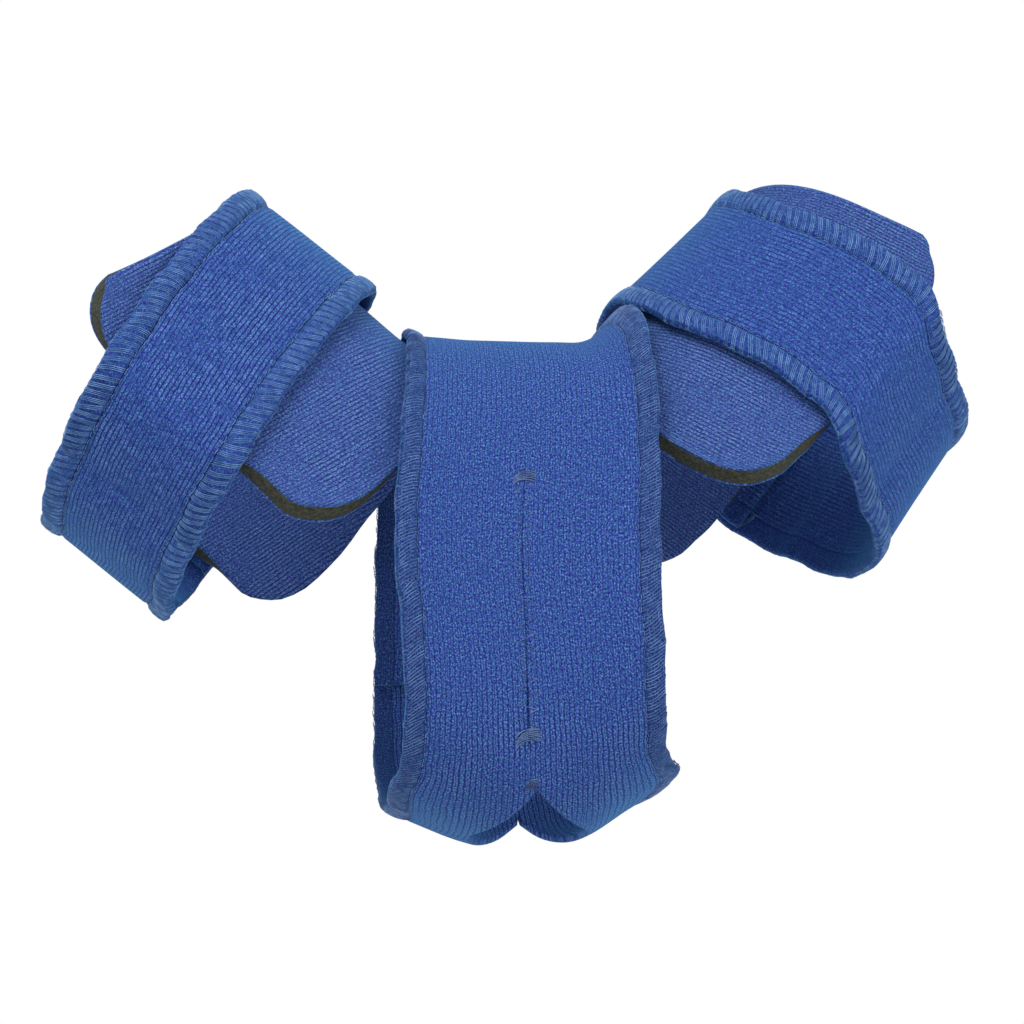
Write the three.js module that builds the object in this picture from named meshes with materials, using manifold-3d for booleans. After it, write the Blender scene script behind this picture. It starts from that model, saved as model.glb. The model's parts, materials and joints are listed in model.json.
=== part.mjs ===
// An elbow brace in the bent shape that it has in use: a foam pad lies in the crook of the bend,
// and an upper arm strap, an elbow strap and a forearm strap hold it. Each strap laps over itself
// on the far side, where a hook tab fastens it.
// Millimetres, +Z up. The brace bends in the XZ plane, with the upper arm strap rising towards -X,
// the forearm strap towards +X and the elbow strap hanging between them. -Y is the near side. The
// origin is in the middle of the bend, inside the elbow strap.
import * as THREE from "three";
import { mergeVertices } from "three/addons/utils/BufferGeometryUtils.js";
import Module from "manifold-3d";

const wasm = await Module();
wasm.setup();

const DEGREE = Math.PI / 180;
const FULL_TURN = 360;

// The bent form that the brace is shaped round. Depths run from its crook side to the far side of
// the bend.
const upperArmRise = 39;
const upperArmDepth = 94;
const upperArmWidth = 93;
const forearmRise = 48.5;
const forearmDepth = 97;
const forearmWidth = 91;
const elbowWidth = 90;
const elbowTipDrop = 75.5;
const upperArmSwell = 0.02;
const forearmSwell = -0.05;
const armSquareness = 2.5;
const strapTautness = 0.5;

// The crook line, where the pad's inside lies on the form: a level bridge with a bend at each end.
const crookHeight = 61.4;
const crookMiddle = -13.5;
const crookBridge = 42;
const crookBendRadius = 24;

// The pad: cloth on both sides of a foam core.
const liningThickness = 0.8;
const foamThickness = 5;
const faceThickness = 0.8;
const layerGap = 0.4;
const strapOnPadGap = 1.2;
const padUpperRun = 50;
const padForearmRun = 72;
const padUpperReach = 15;
const padForearmReach = 10;
const padUpperWrapAngle = 110;
const padForearmWrapAngle = 103;
const padWaistWrapAngle = 38;
const padCornerRadius = 15;
const padEdgeFlare = 3;
const padFlareAngle = 38;

// The straps: a knit laminate with an overlocked hem along both edges.
const strapThickness = 2.6;
const hemWidth = 7;
const hemThickness = 3.5;
const hemRound = 0.9;
const upperArmStrapWidth = 47;
const forearmStrapWidth = 55;
const elbowStrapWidth = 77;
const wearGap = 0.3;
const slackAngle = 26;

// The lap and the hook tab on the far side.
const lapStartAngle = 250;
const lapRampAngle = 34;
const lapPastTab = 8;
const tabThickness = 1.4;
const tabGap = 0.6;
const tabGrip = 26;
const tabReach = 12;
const tabSideGap = 2;
const tabCornerRadius = 8;

// The tip opening, a slit in the elbow strap that spreads under the bend.
const tipOpeningWidth = 34;
const tipOpeningLength = 74;

const padThickness = liningThickness + foamThickness + faceThickness + 2 * layerGap;
const lapRise = Math.max(strapThickness + tabThickness, hemThickness) + 2 * tabGap;

// How far round the pad reaches, from its waist outwards. bend and run are shares of the bend and
// of the straight run, and wrap is a share of the way from the waist's wrap to the limb's.
const UPPER_OUTLINE = [
  { bend: 0, run: 0, wrap: 0 },
  { bend: 0.2, run: 0, wrap: 0.16 },
  { bend: 0.37, run: 0, wrap: 0.46 },
  { bend: 0.49, run: 0, wrap: 0.71 },
  { bend: 0.61, run: 0, wrap: 0.88 },
  { bend: 0.78, run: 0, wrap: 0.99 },
  { bend: 1, run: 0, wrap: 1 },
  { bend: 1, run: 1, wrap: 0.97 },
];
const FOREARM_OUTLINE = [
  { bend: 0, run: 0, wrap: 0 },
  { bend: 0.25, run: 0, wrap: 0.08 },
  { bend: 0.44, run: 0, wrap: 0.25 },
  { bend: 0.54, run: 0, wrap: 0.46 },
  { bend: 0.69, run: 0, wrap: 0.75 },
  { bend: 0.8, run: 0, wrap: 0.88 },
  { bend: 0.94, run: 0, wrap: 0.95 },
  { bend: 1, run: 0.2, wrap: 0.985 },
  { bend: 1, run: 1, wrap: 1 },
];

// How each arm strap lies round its limb. The angle runs from the crook side, positive on the near
// side. clear is how far its lower edge is from the elbow strap, a share of its width, and curl
// lifts that edge, a share of its thickness.
const UPPER_STRAP = {
  width: upperArmStrapWidth,
  round: [
    { angle: -180, clear: 0.11, curl: 0 },
    { angle: -90, clear: 0.26, curl: 0 },
    { angle: -40, clear: 0.43, curl: 0.2 },
    { angle: 10, clear: 0.49, curl: 1.5 },
    { angle: 40, clear: 0.47, curl: 0.4 },
    { angle: 80, clear: 0.4, curl: 0 },
    { angle: 130, clear: 0.23, curl: 0 },
    { angle: 180, clear: 0.11, curl: 0 },
  ],
};
const FOREARM_STRAP = {
  width: forearmStrapWidth,
  round: [
    { angle: -180, clear: 0.09, curl: 0.4 },
    { angle: -90, clear: 0.21, curl: 0.4 },
    { angle: 0, clear: 0.22, curl: 1 },
    { angle: 45, clear: 0.05, curl: 0.2 },
    { angle: 75, clear: 0.13, curl: 0.2 },
    { angle: 95, clear: 0.14, curl: 0.2 },
    { angle: 115, clear: 0.03, curl: 0.4 },
    { angle: 180, clear: 0.09, curl: 0.4 },
  ],
};

// The elbow strap round the loop. shift moves its middle along X and width is its width there,
// both shares of its full width. spread is how far it stands off the form's sides, a share of the
// pad's thickness.
const ELBOW_STRAP_ROUND = [
  { angle: -180, shift: 0, width: 1, spread: 0.13 },
  { angle: -90, shift: 0.026, width: 1, spread: 1.08 },
  { angle: 0, shift: -0.078, width: 0.9, spread: 1.2 },
  { angle: 90, shift: -0.175, width: 0.97, spread: 1.08 },
  { angle: 125, shift: -0.13, width: 0.95, spread: 0.78 },
  { angle: 180, shift: 0, width: 1, spread: 0.13 },
];
// The elbow strap across its width. lift raises it off the pad in the crook, a share of its
// thickness, bulge spreads it over the pad's sprung edges, a share of that spring, and tip raises
// it from the lowest line of the loop, a share of that line's drop. taut is the share of the
// strap's tautness with which it spans the crook.
const ELBOW_STRAP_ACROSS = [
  { across: 0, lift: 0.5, bulge: 1, tip: 0.16, taut: -0.5 },
  { across: 0.12, lift: 0.35, bulge: 0.7, tip: 0.106, taut: -0.2 },
  { across: 0.3, lift: 0.1, bulge: 0.2, tip: 0.04, taut: 0.2 },
  { across: 0.5, lift: 0.1, bulge: 0, tip: 0, taut: 0.7 },
  { across: 0.7, lift: 0.1, bulge: 0.7, tip: 0.053, taut: 1 },
  { across: 0.88, lift: 0.25, bulge: 1.7, tip: 0.172, taut: 1 },
  { across: 1, lift: 0.25, bulge: 2, tip: 0.252, taut: 1 },
];

const smooth = (share) => {
  const held = Math.min(1, Math.max(0, share));
  return held * held * (3 - 2 * held);
};
const mix = (from, to, share) => from + (to - from) * share;

// Reads a column of a table at a key, with a smooth curve that never overshoots its rows.
function readTable(rows, key, at, column) {
  const last = rows.length - 1;
  const held = Math.min(rows[last][key], Math.max(rows[0][key], at));
  let i = 0;
  while (i < last - 1 && held > rows[i + 1][key]) i += 1;
  const slope = (j) =>
    (rows[j + 1][column] - rows[j][column]) / (rows[j + 1][key] - rows[j][key]);
  const tangent = (j) => {
    if (j === 0) return slope(0);
    if (j === last) return slope(last - 1);
    const before = slope(j - 1);
    const after = slope(j);
    return before * after <= 0 ? 0 : (2 * before * after) / (before + after);
  };
  const span = rows[i + 1][key] - rows[i][key];
  const t = (held - rows[i][key]) / span;
  return (
    rows[i][column] * (1 + 2 * t) * (1 - t) ** 2 +
    rows[i + 1][column] * t * t * (3 - 2 * t) +
    span * t * (1 - t) * (tangent(i) * (1 - t) - tangent(i + 1) * t)
  );
}

// Distance from a section's middle to the form's surface, at an angle from the crook side.
function girth(angle, halfDepth, halfWidth, squareness) {
  const deep = Math.abs(Math.cos(angle)) / halfDepth;
  const wide = Math.abs(Math.sin(angle)) / halfWidth;
  return (deep ** squareness + wide ** squareness) ** (-1 / squareness);
}

// A limb of the form leaves the crook line at the end of its bend. side is -1 for the limb in the
// upper arm strap.
function makeLimb({ side, rise, depth, width, swell, wrap, run, reach, outline }) {
  const turn = rise * DEGREE;
  const bridgeEnd = crookMiddle + (side * crookBridge) / 2;
  return {
    side,
    turn,
    wrap,
    run,
    reach,
    outline,
    bendLength: crookBendRadius * turn,
    start: new THREE.Vector3(
      bridgeEnd + side * crookBendRadius * Math.sin(turn),
      0,
      crookHeight + crookBendRadius * (1 - Math.cos(turn)),
    ),
    along: new THREE.Vector3(side * Math.cos(turn), 0, Math.sin(turn)),
    down: new THREE.Vector3(side * Math.sin(turn), 0, -Math.cos(turn)),
    halfDepth: (along) => depth / 2 + swell * along,
    halfWidth: (along) => width / 2 + swell * along,
  };
}
const upperArm = makeLimb({
  side: -1,
  rise: upperArmRise,
  depth: upperArmDepth,
  width: upperArmWidth,
  swell: upperArmSwell,
  wrap: padUpperWrapAngle,
  run: padUpperRun,
  reach: padUpperReach,
  outline: UPPER_OUTLINE,
});
const forearm = makeLimb({
  side: 1,
  rise: forearmRise,
  depth: forearmDepth,
  width: forearmWidth,
  swell: forearmSwell,
  wrap: padForearmWrapAngle,
  run: padForearmRun,
  reach: padForearmReach,
  outline: FOREARM_OUTLINE,
});

// A section of the form: where the crook line is, which way is down into the form, and its size.
function limbSection(limb, along) {
  return {
    crook: limb.start.clone().addScaledVector(limb.along, along),
    down: limb.down,
    halfDepth: limb.halfDepth(along),
    halfWidth: limb.halfWidth(along),
  };
}

// The section at a distance along the crook line, negative towards the upper arm strap. The
// sections fan out round each bend.
function crookSection(distance) {
  const limb = distance < 0 ? upperArm : forearm;
  const past = Math.abs(distance) - crookBridge / 2;
  if (past >= limb.bendLength) return limbSection(limb, past - limb.bendLength);
  const turn = Math.max(0, past) / crookBendRadius;
  const level = Math.min(Math.abs(distance), crookBridge / 2);
  const share = smooth(turn / limb.turn);
  const elbowHalfDepth = (crookHeight + elbowTipDrop) / 2;
  return {
    crook: new THREE.Vector3(
      crookMiddle + limb.side * (level + crookBendRadius * Math.sin(turn)),
      0,
      crookHeight + crookBendRadius * (1 - Math.cos(turn)),
    ),
    down: new THREE.Vector3(limb.side * Math.sin(turn), 0, -Math.cos(turn)),
    halfDepth: mix(elbowHalfDepth, limb.halfDepth(0), share),
    halfWidth: mix(elbowWidth / 2, limb.halfWidth(0), share),
  };
}

// A point on the form's surface at an angle round a section, positive on the near side.
function sectionPoint(section, angle) {
  const reach = girth(angle, section.halfDepth, section.halfWidth, armSquareness);
  return section.crook
    .clone()
    .addScaledVector(section.down, section.halfDepth - reach * Math.cos(angle))
    .add(new THREE.Vector3(0, -reach * Math.sin(angle), 0));
}

// Moves a point of a surface off it. surface(u, v) gives the surface, and away is a point inside.
function standOff(surface, u, v, inside, height) {
  const step = 1e-3;
  const here = surface(u, v);
  const alongU = surface(u + step, v).sub(surface(u - step, v));
  const alongV = surface(u, v + step).sub(surface(u, v - step));
  const normal = alongU.cross(alongV).normalize();
  if (normal.dot(here.clone().sub(inside)) < 0) normal.negate();
  return here.addScaledVector(normal, height);
}

function sectionMiddle(section) {
  return section.crook.clone().addScaledVector(section.down, section.halfDepth);
}

// The stiff pad springs a little off the form towards its long edges.
function padFlare(wrap, angle) {
  const before = wrap - padFlareAngle;
  return padEdgeFlare * smooth((Math.abs(angle) / DEGREE - before) / padFlareAngle);
}

// How far round the pad reaches at a distance along the crook line, in radians.
function padWrap(distance) {
  const limb = distance < 0 ? upperArm : forearm;
  const past = Math.abs(distance) - crookBridge / 2;
  const rows = limb.outline.map((row) => ({
    at: row.bend * limb.bendLength + row.run * limb.run,
    wrap: mix(padWaistWrapAngle, limb.wrap, row.wrap),
  }));
  const wrap = readTable(rows, "at", past, "wrap") * DEGREE;
  const corner = (past - limb.bendLength - limb.run) / padCornerRadius + 1;
  if (corner <= 0) return wrap;
  const cut = 1 - Math.sqrt(Math.max(0, 1 - corner * corner));
  return wrap - (cut * padCornerRadius) / limb.halfWidth(limb.run);
}

// A point of the pad. round runs from -1 on the far edge to 1 on the near edge.
function padPoint(distance, round, height) {
  const limb = distance < 0 ? upperArm : forearm;
  const past = Math.abs(distance) - crookBridge / 2 - limb.bendLength;
  const out = limb.reach * round * round * smooth(past / limb.run);
  const at = distance + limb.side * out;
  const surface = (along, angle) => sectionPoint(crookSection(along), angle);
  const angle = round * padWrap(distance);
  const flared = height + wearGap + padFlare(limb.wrap, angle);
  return standOff(surface, at, angle, sectionMiddle(crookSection(at)), flared);
}

// How high an arm strap stands off the form: on the pad, then down to the form past its edge.
function strapStandOff(limb, angle) {
  const overPad = wearGap + padThickness + strapOnPadGap + padFlare(limb.wrap, angle);
  const past = (Math.abs(angle) / DEGREE - limb.wrap - 2) / slackAngle;
  return mix(overPad, wearGap, Math.min(1, Math.max(0, past)));
}

const wrapAngle = (angle) => Math.atan2(Math.sin(angle), Math.cos(angle));

// How far along a limb, from its bend, the elbow strap's edge reaches in the crook.
function elbowStrapEnd(limb) {
  const crook = (column) => readTable(ELBOW_STRAP_ROUND, "angle", 0, column) * elbowStrapWidth;
  const edge = crook("shift") + (limb.side * crook("width")) / 2;
  const bendEnd = crookMiddle + limb.side * (crookBridge / 2 + crookBendRadius * Math.sin(limb.turn));
  return (limb.side * (edge - bendEnd)) / Math.cos(limb.turn);
}

// A point of an arm strap's inside, raised by height. turn is the angle along the strap, which
// passes a full circle where it laps over itself.
function armStrapPoint(limb, strap, turn, across, height) {
  const angle = wrapAngle(turn);
  const row = (column) => readTable(strap.round, "angle", angle / DEGREE, column);
  const surface = (along, around) => sectionPoint(limbSection(limb, along), around);
  const along = elbowStrapEnd(limb) + (row("clear") + across) * strap.width;
  const curl = row("curl") * strapThickness * (1 - across);
  const raised = height + strapStandOff(limb, angle) + curl + lapHeight(turn);
  const inside = sectionMiddle(limbSection(limb, along));
  return standOff(surface, along, angle, inside, raised);
}

// The strap climbs onto its own start over the last stretch of the loop.
function lapHeight(turn) {
  const past = turn / DEGREE - lapStartAngle - FULL_TURN + lapRampAngle;
  return lapRise * smooth(past / (lapRampAngle - 2));
}

// Half the form's width at a place along X, at the crook.
function crookHalfWidth(x) {
  const limb = x < crookMiddle ? upperArm : forearm;
  const past = Math.abs(x - crookMiddle) - crookBridge / 2;
  const share = past / (crookBendRadius * Math.sin(limb.turn));
  return mix(elbowWidth / 2, limb.halfWidth(0), smooth(share));
}

// Height of the pad's outside at a place along X, on the form's middle plane.
function padTop(x) {
  const limb = x < crookMiddle ? upperArm : forearm;
  const past = Math.abs(x - crookMiddle) - crookBridge / 2;
  const radius = crookBendRadius - padThickness - wearGap;
  const level = crookHeight + padThickness + wearGap;
  if (past <= 0) return level;
  const bend = radius * Math.sin(limb.turn);
  if (past <= bend) return level + radius - Math.sqrt(radius * radius - past * past);
  return level + radius * (1 - Math.cos(limb.turn)) + (past - bend) * Math.tan(limb.turn);
}

// A point of the elbow strap's inside, before its thickness.
function elbowStrapSurface(turn, across) {
  const angle = wrapAngle(turn);
  const row = (column) => readTable(ELBOW_STRAP_ROUND, "angle", angle / DEGREE, column);
  const share = (column) => readTable(ELBOW_STRAP_ACROSS, "across", across, column);
  const x = elbowStrapWidth * (row("shift") + (across - 0.5) * row("width"));
  const overPad = padTop(x) + wearGap + share("lift") * strapThickness;
  const inCrook = Math.cos(angle) > 0;
  const halfDepth = inCrook ? overPad : elbowTipDrop * (1 - share("tip"));
  const spread = row("spread") * padThickness + share("bulge") * padEdgeFlare;
  const halfWidth = crookHalfWidth(x) + spread;
  const taut = strapTautness * (inCrook ? share("taut") : 1);
  const reach = girth(angle, halfDepth, halfWidth, armSquareness + taut);
  return new THREE.Vector3(x, -reach * Math.sin(angle), reach * Math.cos(angle));
}
function elbowStrapPoint(turn, across, height) {
  const x = elbowStrapSurface(turn, across).x;
  return standOff(
    elbowStrapSurface, turn, across, new THREE.Vector3(x, 0, 0), height + lapHeight(turn),
  );
}

// Turns a closed mesh inside out if its faces point inwards.
function facingOut(geometry) {
  const index = geometry.index.array;
  const position = geometry.attributes.position;
  const corner = [0, 1, 2].map(() => new THREE.Vector3());
  let volume = 0;
  for (let i = 0; i < index.length; i += 3) {
    corner.forEach((vector, k) => vector.fromBufferAttribute(position, index[i + k]));
    volume += corner[0].dot(corner[1].clone().cross(corner[2]));
  }
  if (volume < 0)
    for (let i = 0; i < index.length; i += 3)
      [index[i + 1], index[i + 2]] = [index[i + 2], index[i + 1]];
  return geometry;
}

// A sheet as one closed solid. Each column has an across share and the heights of its two faces,
// and place(station, column, height) gives the point.
function sheetGeometry(stations, columns, place) {
  const wide = columns.length;
  const long = stations.length;
  const positions = [];
  for (const face of ["under", "over"])
    for (const station of stations)
      for (const column of columns)
        positions.push(...place(station, column.across, column[face]).toArray());
  const index = [];
  const quad = (a, b, c, d) => index.push(a, b, c, a, c, d);
  const at = (face, i, j) => face * wide * long + i * wide + j;
  for (let i = 0; i < long - 1; i += 1)
    for (let j = 0; j < wide - 1; j += 1) {
      quad(at(0, i, j), at(0, i, j + 1), at(0, i + 1, j + 1), at(0, i + 1, j));
      quad(at(1, i, j), at(1, i + 1, j), at(1, i + 1, j + 1), at(1, i, j + 1));
    }
  for (let i = 0; i < long - 1; i += 1) {
    quad(at(0, i, 0), at(0, i + 1, 0), at(1, i + 1, 0), at(1, i, 0));
    quad(at(0, i + 1, wide - 1), at(0, i, wide - 1), at(1, i, wide - 1), at(1, i + 1, wide - 1));
  }
  for (let j = 0; j < wide - 1; j += 1) {
    quad(at(0, 0, j + 1), at(0, 0, j), at(1, 0, j), at(1, 0, j + 1));
    quad(at(0, long - 1, j), at(0, long - 1, j + 1), at(1, long - 1, j + 1), at(1, long - 1, j));
  }
  const geometry = new THREE.BufferGeometry();
  geometry.setAttribute("position", new THREE.Float32BufferAttribute(positions, 3));
  geometry.setIndex(index);
  return facingOut(geometry);
}

const evenly = (from, to, count) =>
  Array.from({ length: count }, (_, i) => from + ((to - from) * i) / (count - 1));

// Columns of a strap: a rounded hem at each edge and flat cloth between.
function strapColumns(width, flatColumns) {
  const hem = [
    { in: 0, under: hemRound, over: hemThickness - hemRound },
    { in: hemRound, under: 0, over: hemThickness },
    { in: hemWidth - hemRound, under: 0, over: hemThickness },
    { in: hemWidth, under: 0, over: strapThickness },
  ];
  const near = hem.map(({ in: inset, under, over }) => ({ across: inset / width, under, over }));
  const far = near.map((column) => ({ ...column, across: 1 - column.across })).reverse();
  const flat = evenly(hemWidth, width - hemWidth, flatColumns + 2)
    .slice(1, -1)
    .map((inset) => ({ across: inset / width, under: 0, over: strapThickness }));
  return [...near, ...flat, ...far];
}

const material = (colour, roughness) =>
  new THREE.MeshStandardMaterial({ color: colour, roughness, metalness: 0 });
const strapCloth = material(0x1f4796, 0.95);
const padCloth = material(0x34488f, 0.95);
const foam = material(0x3a3d33, 0.9);
const hookPlastic = material(0x1b2b5c, 0.7);

function named(name, geometry, finish) {
  const mesh = new THREE.Mesh(geometry, finish);
  mesh.name = name;
  return mesh;
}

// Distances along the crook line where the pad has its sections, close together round the bends
// and the corners.
function padStations() {
  const limbStations = (limb) => {
    const half = crookBridge / 2;
    const bendEnd = half + limb.bendLength;
    const cornerStart = bendEnd + limb.run - padCornerRadius;
    const end = bendEnd + limb.run;
    return [
      ...evenly(half, bendEnd, 7),
      ...evenly(bendEnd, cornerStart, 4).slice(1),
      ...[0.35, 0.65, 0.87, 1].map((share) => mix(cornerStart, end, share)),
    ].map((distance) => distance * limb.side);
  };
  return [...limbStations(upperArm).reverse(), 0, ...limbStations(forearm)];
}

function padLayer(name, floor, thickness, finish) {
  const columns = evenly(-1, 1, 15).map((across) => ({
    across,
    under: floor,
    over: floor + thickness,
  }));
  return named(name, sheetGeometry(padStations(), columns, padPoint), finish);
}

// How far a strap laps over itself, in degrees, with its length of arc for each degree.
const lapAngle = (arcPerDegree) => (tabGrip + lapPastTab) / arcPerDegree;
const armArc = (limb, strap) => limb.halfWidth(strap.width / 2) * DEGREE;
const elbowArc = (elbowWidth / 2) * DEGREE;

const STRAP_ROWS = 44;
const lapEnd = (arcPerDegree) => lapStartAngle + FULL_TURN + lapAngle(arcPerDegree);
const strapTurns = (arcPerDegree) =>
  evenly(lapStartAngle, lapEnd(arcPerDegree), STRAP_ROWS).map((angle) => angle * DEGREE);

function armStrapMesh(name, limb, strap) {
  const place = (turn, across, height) => armStrapPoint(limb, strap, turn, across, height);
  const turns = strapTurns(armArc(limb, strap));
  return named(name, sheetGeometry(turns, strapColumns(strap.width, 2), place), strapCloth);
}

function toManifold(geometry) {
  const bare = geometry.clone();
  bare.deleteAttribute("normal");
  bare.deleteAttribute("uv");
  const merged = mergeVertices(bare);
  return new wasm.Manifold(
    new wasm.Mesh({
      numProp: 3,
      vertProperties: merged.attributes.position.array,
      triVerts: new Uint32Array(merged.index.array),
    }),
  );
}
function fromManifold(solid) {
  const made = solid.getMesh();
  const geometry = new THREE.BufferGeometry();
  geometry.setAttribute("position", new THREE.Float32BufferAttribute(made.vertProperties, 3));
  geometry.setIndex(Array.from(made.triVerts));
  return geometry;
}

// The slit's spread shape, seen from below: two shallow arcs that meet in a point on each side.
// It turns with the strap, which crosses under the bend at a slant.
function tipOpening() {
  const shift = (angle) =>
    elbowStrapWidth * readTable(ELBOW_STRAP_ROUND, "angle", angle, "shift");
  const slant = Math.atan((shift(-90) - shift(90)) / (elbowWidth + 2 * hemThickness));
  const shape = new THREE.Shape();
  const reach = tipOpeningLength / 2;
  shape.moveTo(0, -reach);
  shape.quadraticCurveTo(tipOpeningWidth, 0, 0, reach);
  shape.quadraticCurveTo(-tipOpeningWidth, 0, 0, -reach);
  const depth = 2 * elbowTipDrop;
  const prism = new THREE.ExtrudeGeometry(shape, { depth, bevelEnabled: false, curveSegments: 6 });
  return prism.rotateZ(-slant).translate(shift(180), 0, -depth);
}

function elbowStrapMesh(name) {
  const columns = strapColumns(elbowStrapWidth, 5);
  const band = sheetGeometry(strapTurns(elbowArc), columns, elbowStrapPoint);
  const cut = toManifold(band).subtract(toManifold(tipOpening()));
  return named(name, fromManifold(cut), strapCloth);
}

// A hook tab lies between the strap's start and its lapped end, and reaches past that end.
function hookTab(name, width, arcPerDegree, point) {
  const end = lapEnd(arcPerDegree);
  const room = width - 2 * (hemWidth + tabSideGap);
  const last = end + tabReach / arcPerDegree;
  const first = end - tabGrip / arcPerDegree;
  const place = (turn, across, height) => {
    const left = (last - turn) * arcPerDegree;
    const corner = Math.max(0, tabCornerRadius - left);
    const cut =
      tabCornerRadius - Math.sqrt(Math.max(0, tabCornerRadius ** 2 - corner * corner));
    const inset = (room / 2 - cut) * across;
    return point(turn * DEGREE, 0.5 + inset / width, height - lapHeight(turn * DEGREE));
  };
  const floor = strapThickness + tabGap;
  const columns = evenly(-1, 1, 5).map((across) => ({
    across,
    under: floor,
    over: floor + tabThickness,
  }));
  const corners = [1, 0.6, 0.3, 0.1, 0].map(
    (share) => last - (share * tabCornerRadius) / arcPerDegree,
  );
  const turns = [...evenly(first, corners[0], 6).slice(0, -1), ...corners];
  return named(name, sheetGeometry(turns, columns, place), hookPlastic);
}
function armTab(name, limb, strap) {
  const place = (turn, across, height) => armStrapPoint(limb, strap, turn, across, height);
  return hookTab(name, strap.width, armArc(limb, strap), place);
}

const brace = new THREE.Group();
brace.add(
  padLayer("pad_lining", 0, liningThickness, padCloth),
  padLayer("pad_foam", liningThickness + layerGap, foamThickness, foam),
  padLayer("pad_face", padThickness - faceThickness, faceThickness, padCloth),
  armStrapMesh("upper_arm_strap", upperArm, UPPER_STRAP),
  armStrapMesh("forearm_strap", forearm, FOREARM_STRAP),
  elbowStrapMesh("elbow_strap"),
  armTab("upper_arm_hook_tab", upperArm, UPPER_STRAP),
  armTab("forearm_hook_tab", forearm, FOREARM_STRAP),
  hookTab("elbow_hook_tab", elbowStrapWidth, elbowArc, elbowStrapPoint),
);

export default brace;
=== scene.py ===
# %% [markdown]
# # A soft elbow brace
# The brace keeps the bent shape that it has in use. A foam pad with knit cloth on both sides lies
# in the crook of the bend. Three wrap straps of ribbed knit hold it, each with an overlocked hem
# along both edges, and each laps over itself on the far side.
# This lesson builds the brace cell by cell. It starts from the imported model, whose solids say where
# each piece lies, and ends with every soft solid replaced by a piece that looks like cloth.

# %% Load the frame
import json
import math
from types import SimpleNamespace

import bmesh
import bpy
import numpy as np
from mathutils import Matrix, Vector

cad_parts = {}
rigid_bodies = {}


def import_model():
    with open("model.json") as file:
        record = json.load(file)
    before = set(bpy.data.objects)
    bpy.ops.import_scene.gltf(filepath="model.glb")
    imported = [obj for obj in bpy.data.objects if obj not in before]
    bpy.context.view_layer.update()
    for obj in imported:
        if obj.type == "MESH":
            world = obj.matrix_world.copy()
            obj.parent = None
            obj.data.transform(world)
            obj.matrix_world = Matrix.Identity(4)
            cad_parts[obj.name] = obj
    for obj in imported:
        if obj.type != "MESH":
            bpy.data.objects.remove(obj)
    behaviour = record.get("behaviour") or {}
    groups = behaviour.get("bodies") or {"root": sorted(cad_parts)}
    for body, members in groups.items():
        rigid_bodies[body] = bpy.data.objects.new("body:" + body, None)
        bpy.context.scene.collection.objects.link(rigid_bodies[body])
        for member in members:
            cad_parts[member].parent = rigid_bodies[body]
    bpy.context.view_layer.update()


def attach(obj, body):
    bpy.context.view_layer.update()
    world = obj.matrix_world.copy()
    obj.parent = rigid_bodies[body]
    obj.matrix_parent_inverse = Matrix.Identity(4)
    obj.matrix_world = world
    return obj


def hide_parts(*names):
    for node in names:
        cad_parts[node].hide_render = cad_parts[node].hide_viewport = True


for leftover in list(bpy.data.objects):
    bpy.data.objects.remove(leftover)
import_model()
MM = 0.001

# %% [markdown]
# ## The camera
# The photograph looks at the near side from a little below, so the crook of the brace makes a low
# V against white. The camera keeps that angle. Its three axes are worked out from the azimuth and
# the elevation, and it stands back along the third one.

# %% Camera
AZIMUTH = math.radians(-12.8)
ELEVATION = math.radians(-14.7)
CAMERA_DISTANCE = 700
IMAGE_SIZE = 1024
FOCAL_PIXELS = 2333
AIM_RIGHT = -4.5
AIM_UP = 23.4

back = np.array((
    math.sin(AZIMUTH) * math.cos(ELEVATION),
    -math.cos(AZIMUTH) * math.cos(ELEVATION),
    math.sin(ELEVATION),
))
right = np.array((math.cos(AZIMUTH), math.sin(AZIMUTH), 0))
up = np.cross(back, right)
camera_data = bpy.data.cameras.new("camera")
camera_data.sensor_width = 36
camera_data.lens = camera_data.sensor_width * FOCAL_PIXELS / IMAGE_SIZE
camera_data.clip_start = 0.05
camera = bpy.data.objects.new("camera", camera_data)
camera_place = (AIM_RIGHT * right + AIM_UP * up + CAMERA_DISTANCE * back) * MM
camera_axes = Matrix(np.column_stack((right, up, back)).tolist()).to_4x4()
camera.matrix_world = Matrix.Translation(camera_place.tolist()) @ camera_axes
bpy.context.scene.collection.objects.link(camera)
bpy.context.scene.camera = camera
print("camera at", [round(value, 3) for value in camera_place])

# %% [markdown]
# ## Sizes
# All sizes are millimetres, and angles are degrees. They are the sizes that the solids of the frame
# were made from, so every surface below lands where its solid lies. Only the elbow strap's hem
# differs: it is 5.8 mm wide, as in the photograph, and 7 mm in its solid. The axes are +Z up, +X
# towards the forearm strap and -Y towards the near side.

# %% Sizes of the bent form, the pad and the straps
ELBOW_WIDTH = 90
ELBOW_TIP_DROP = 75.5
ARM_SQUARENESS = 2.5
STRAP_TAUTNESS = 0.5
CROOK_HEIGHT = 61.4
CROOK_MIDDLE = -13.5
CROOK_BRIDGE = 42
CROOK_BEND_RADIUS = 24

LINING_THICKNESS = 0.8
FOAM_THICKNESS = 5
FACE_THICKNESS = 0.8
LAYER_GAP = 0.4
PAD_THICKNESS = LINING_THICKNESS + FOAM_THICKNESS + FACE_THICKNESS + 2 * LAYER_GAP
STRAP_ON_PAD_GAP = 1.2
PAD_WAIST_WRAP = 38
PAD_CORNER_RADIUS = 15
PAD_EDGE_FLARE = 3
PAD_FLARE_ANGLE = 38

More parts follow.
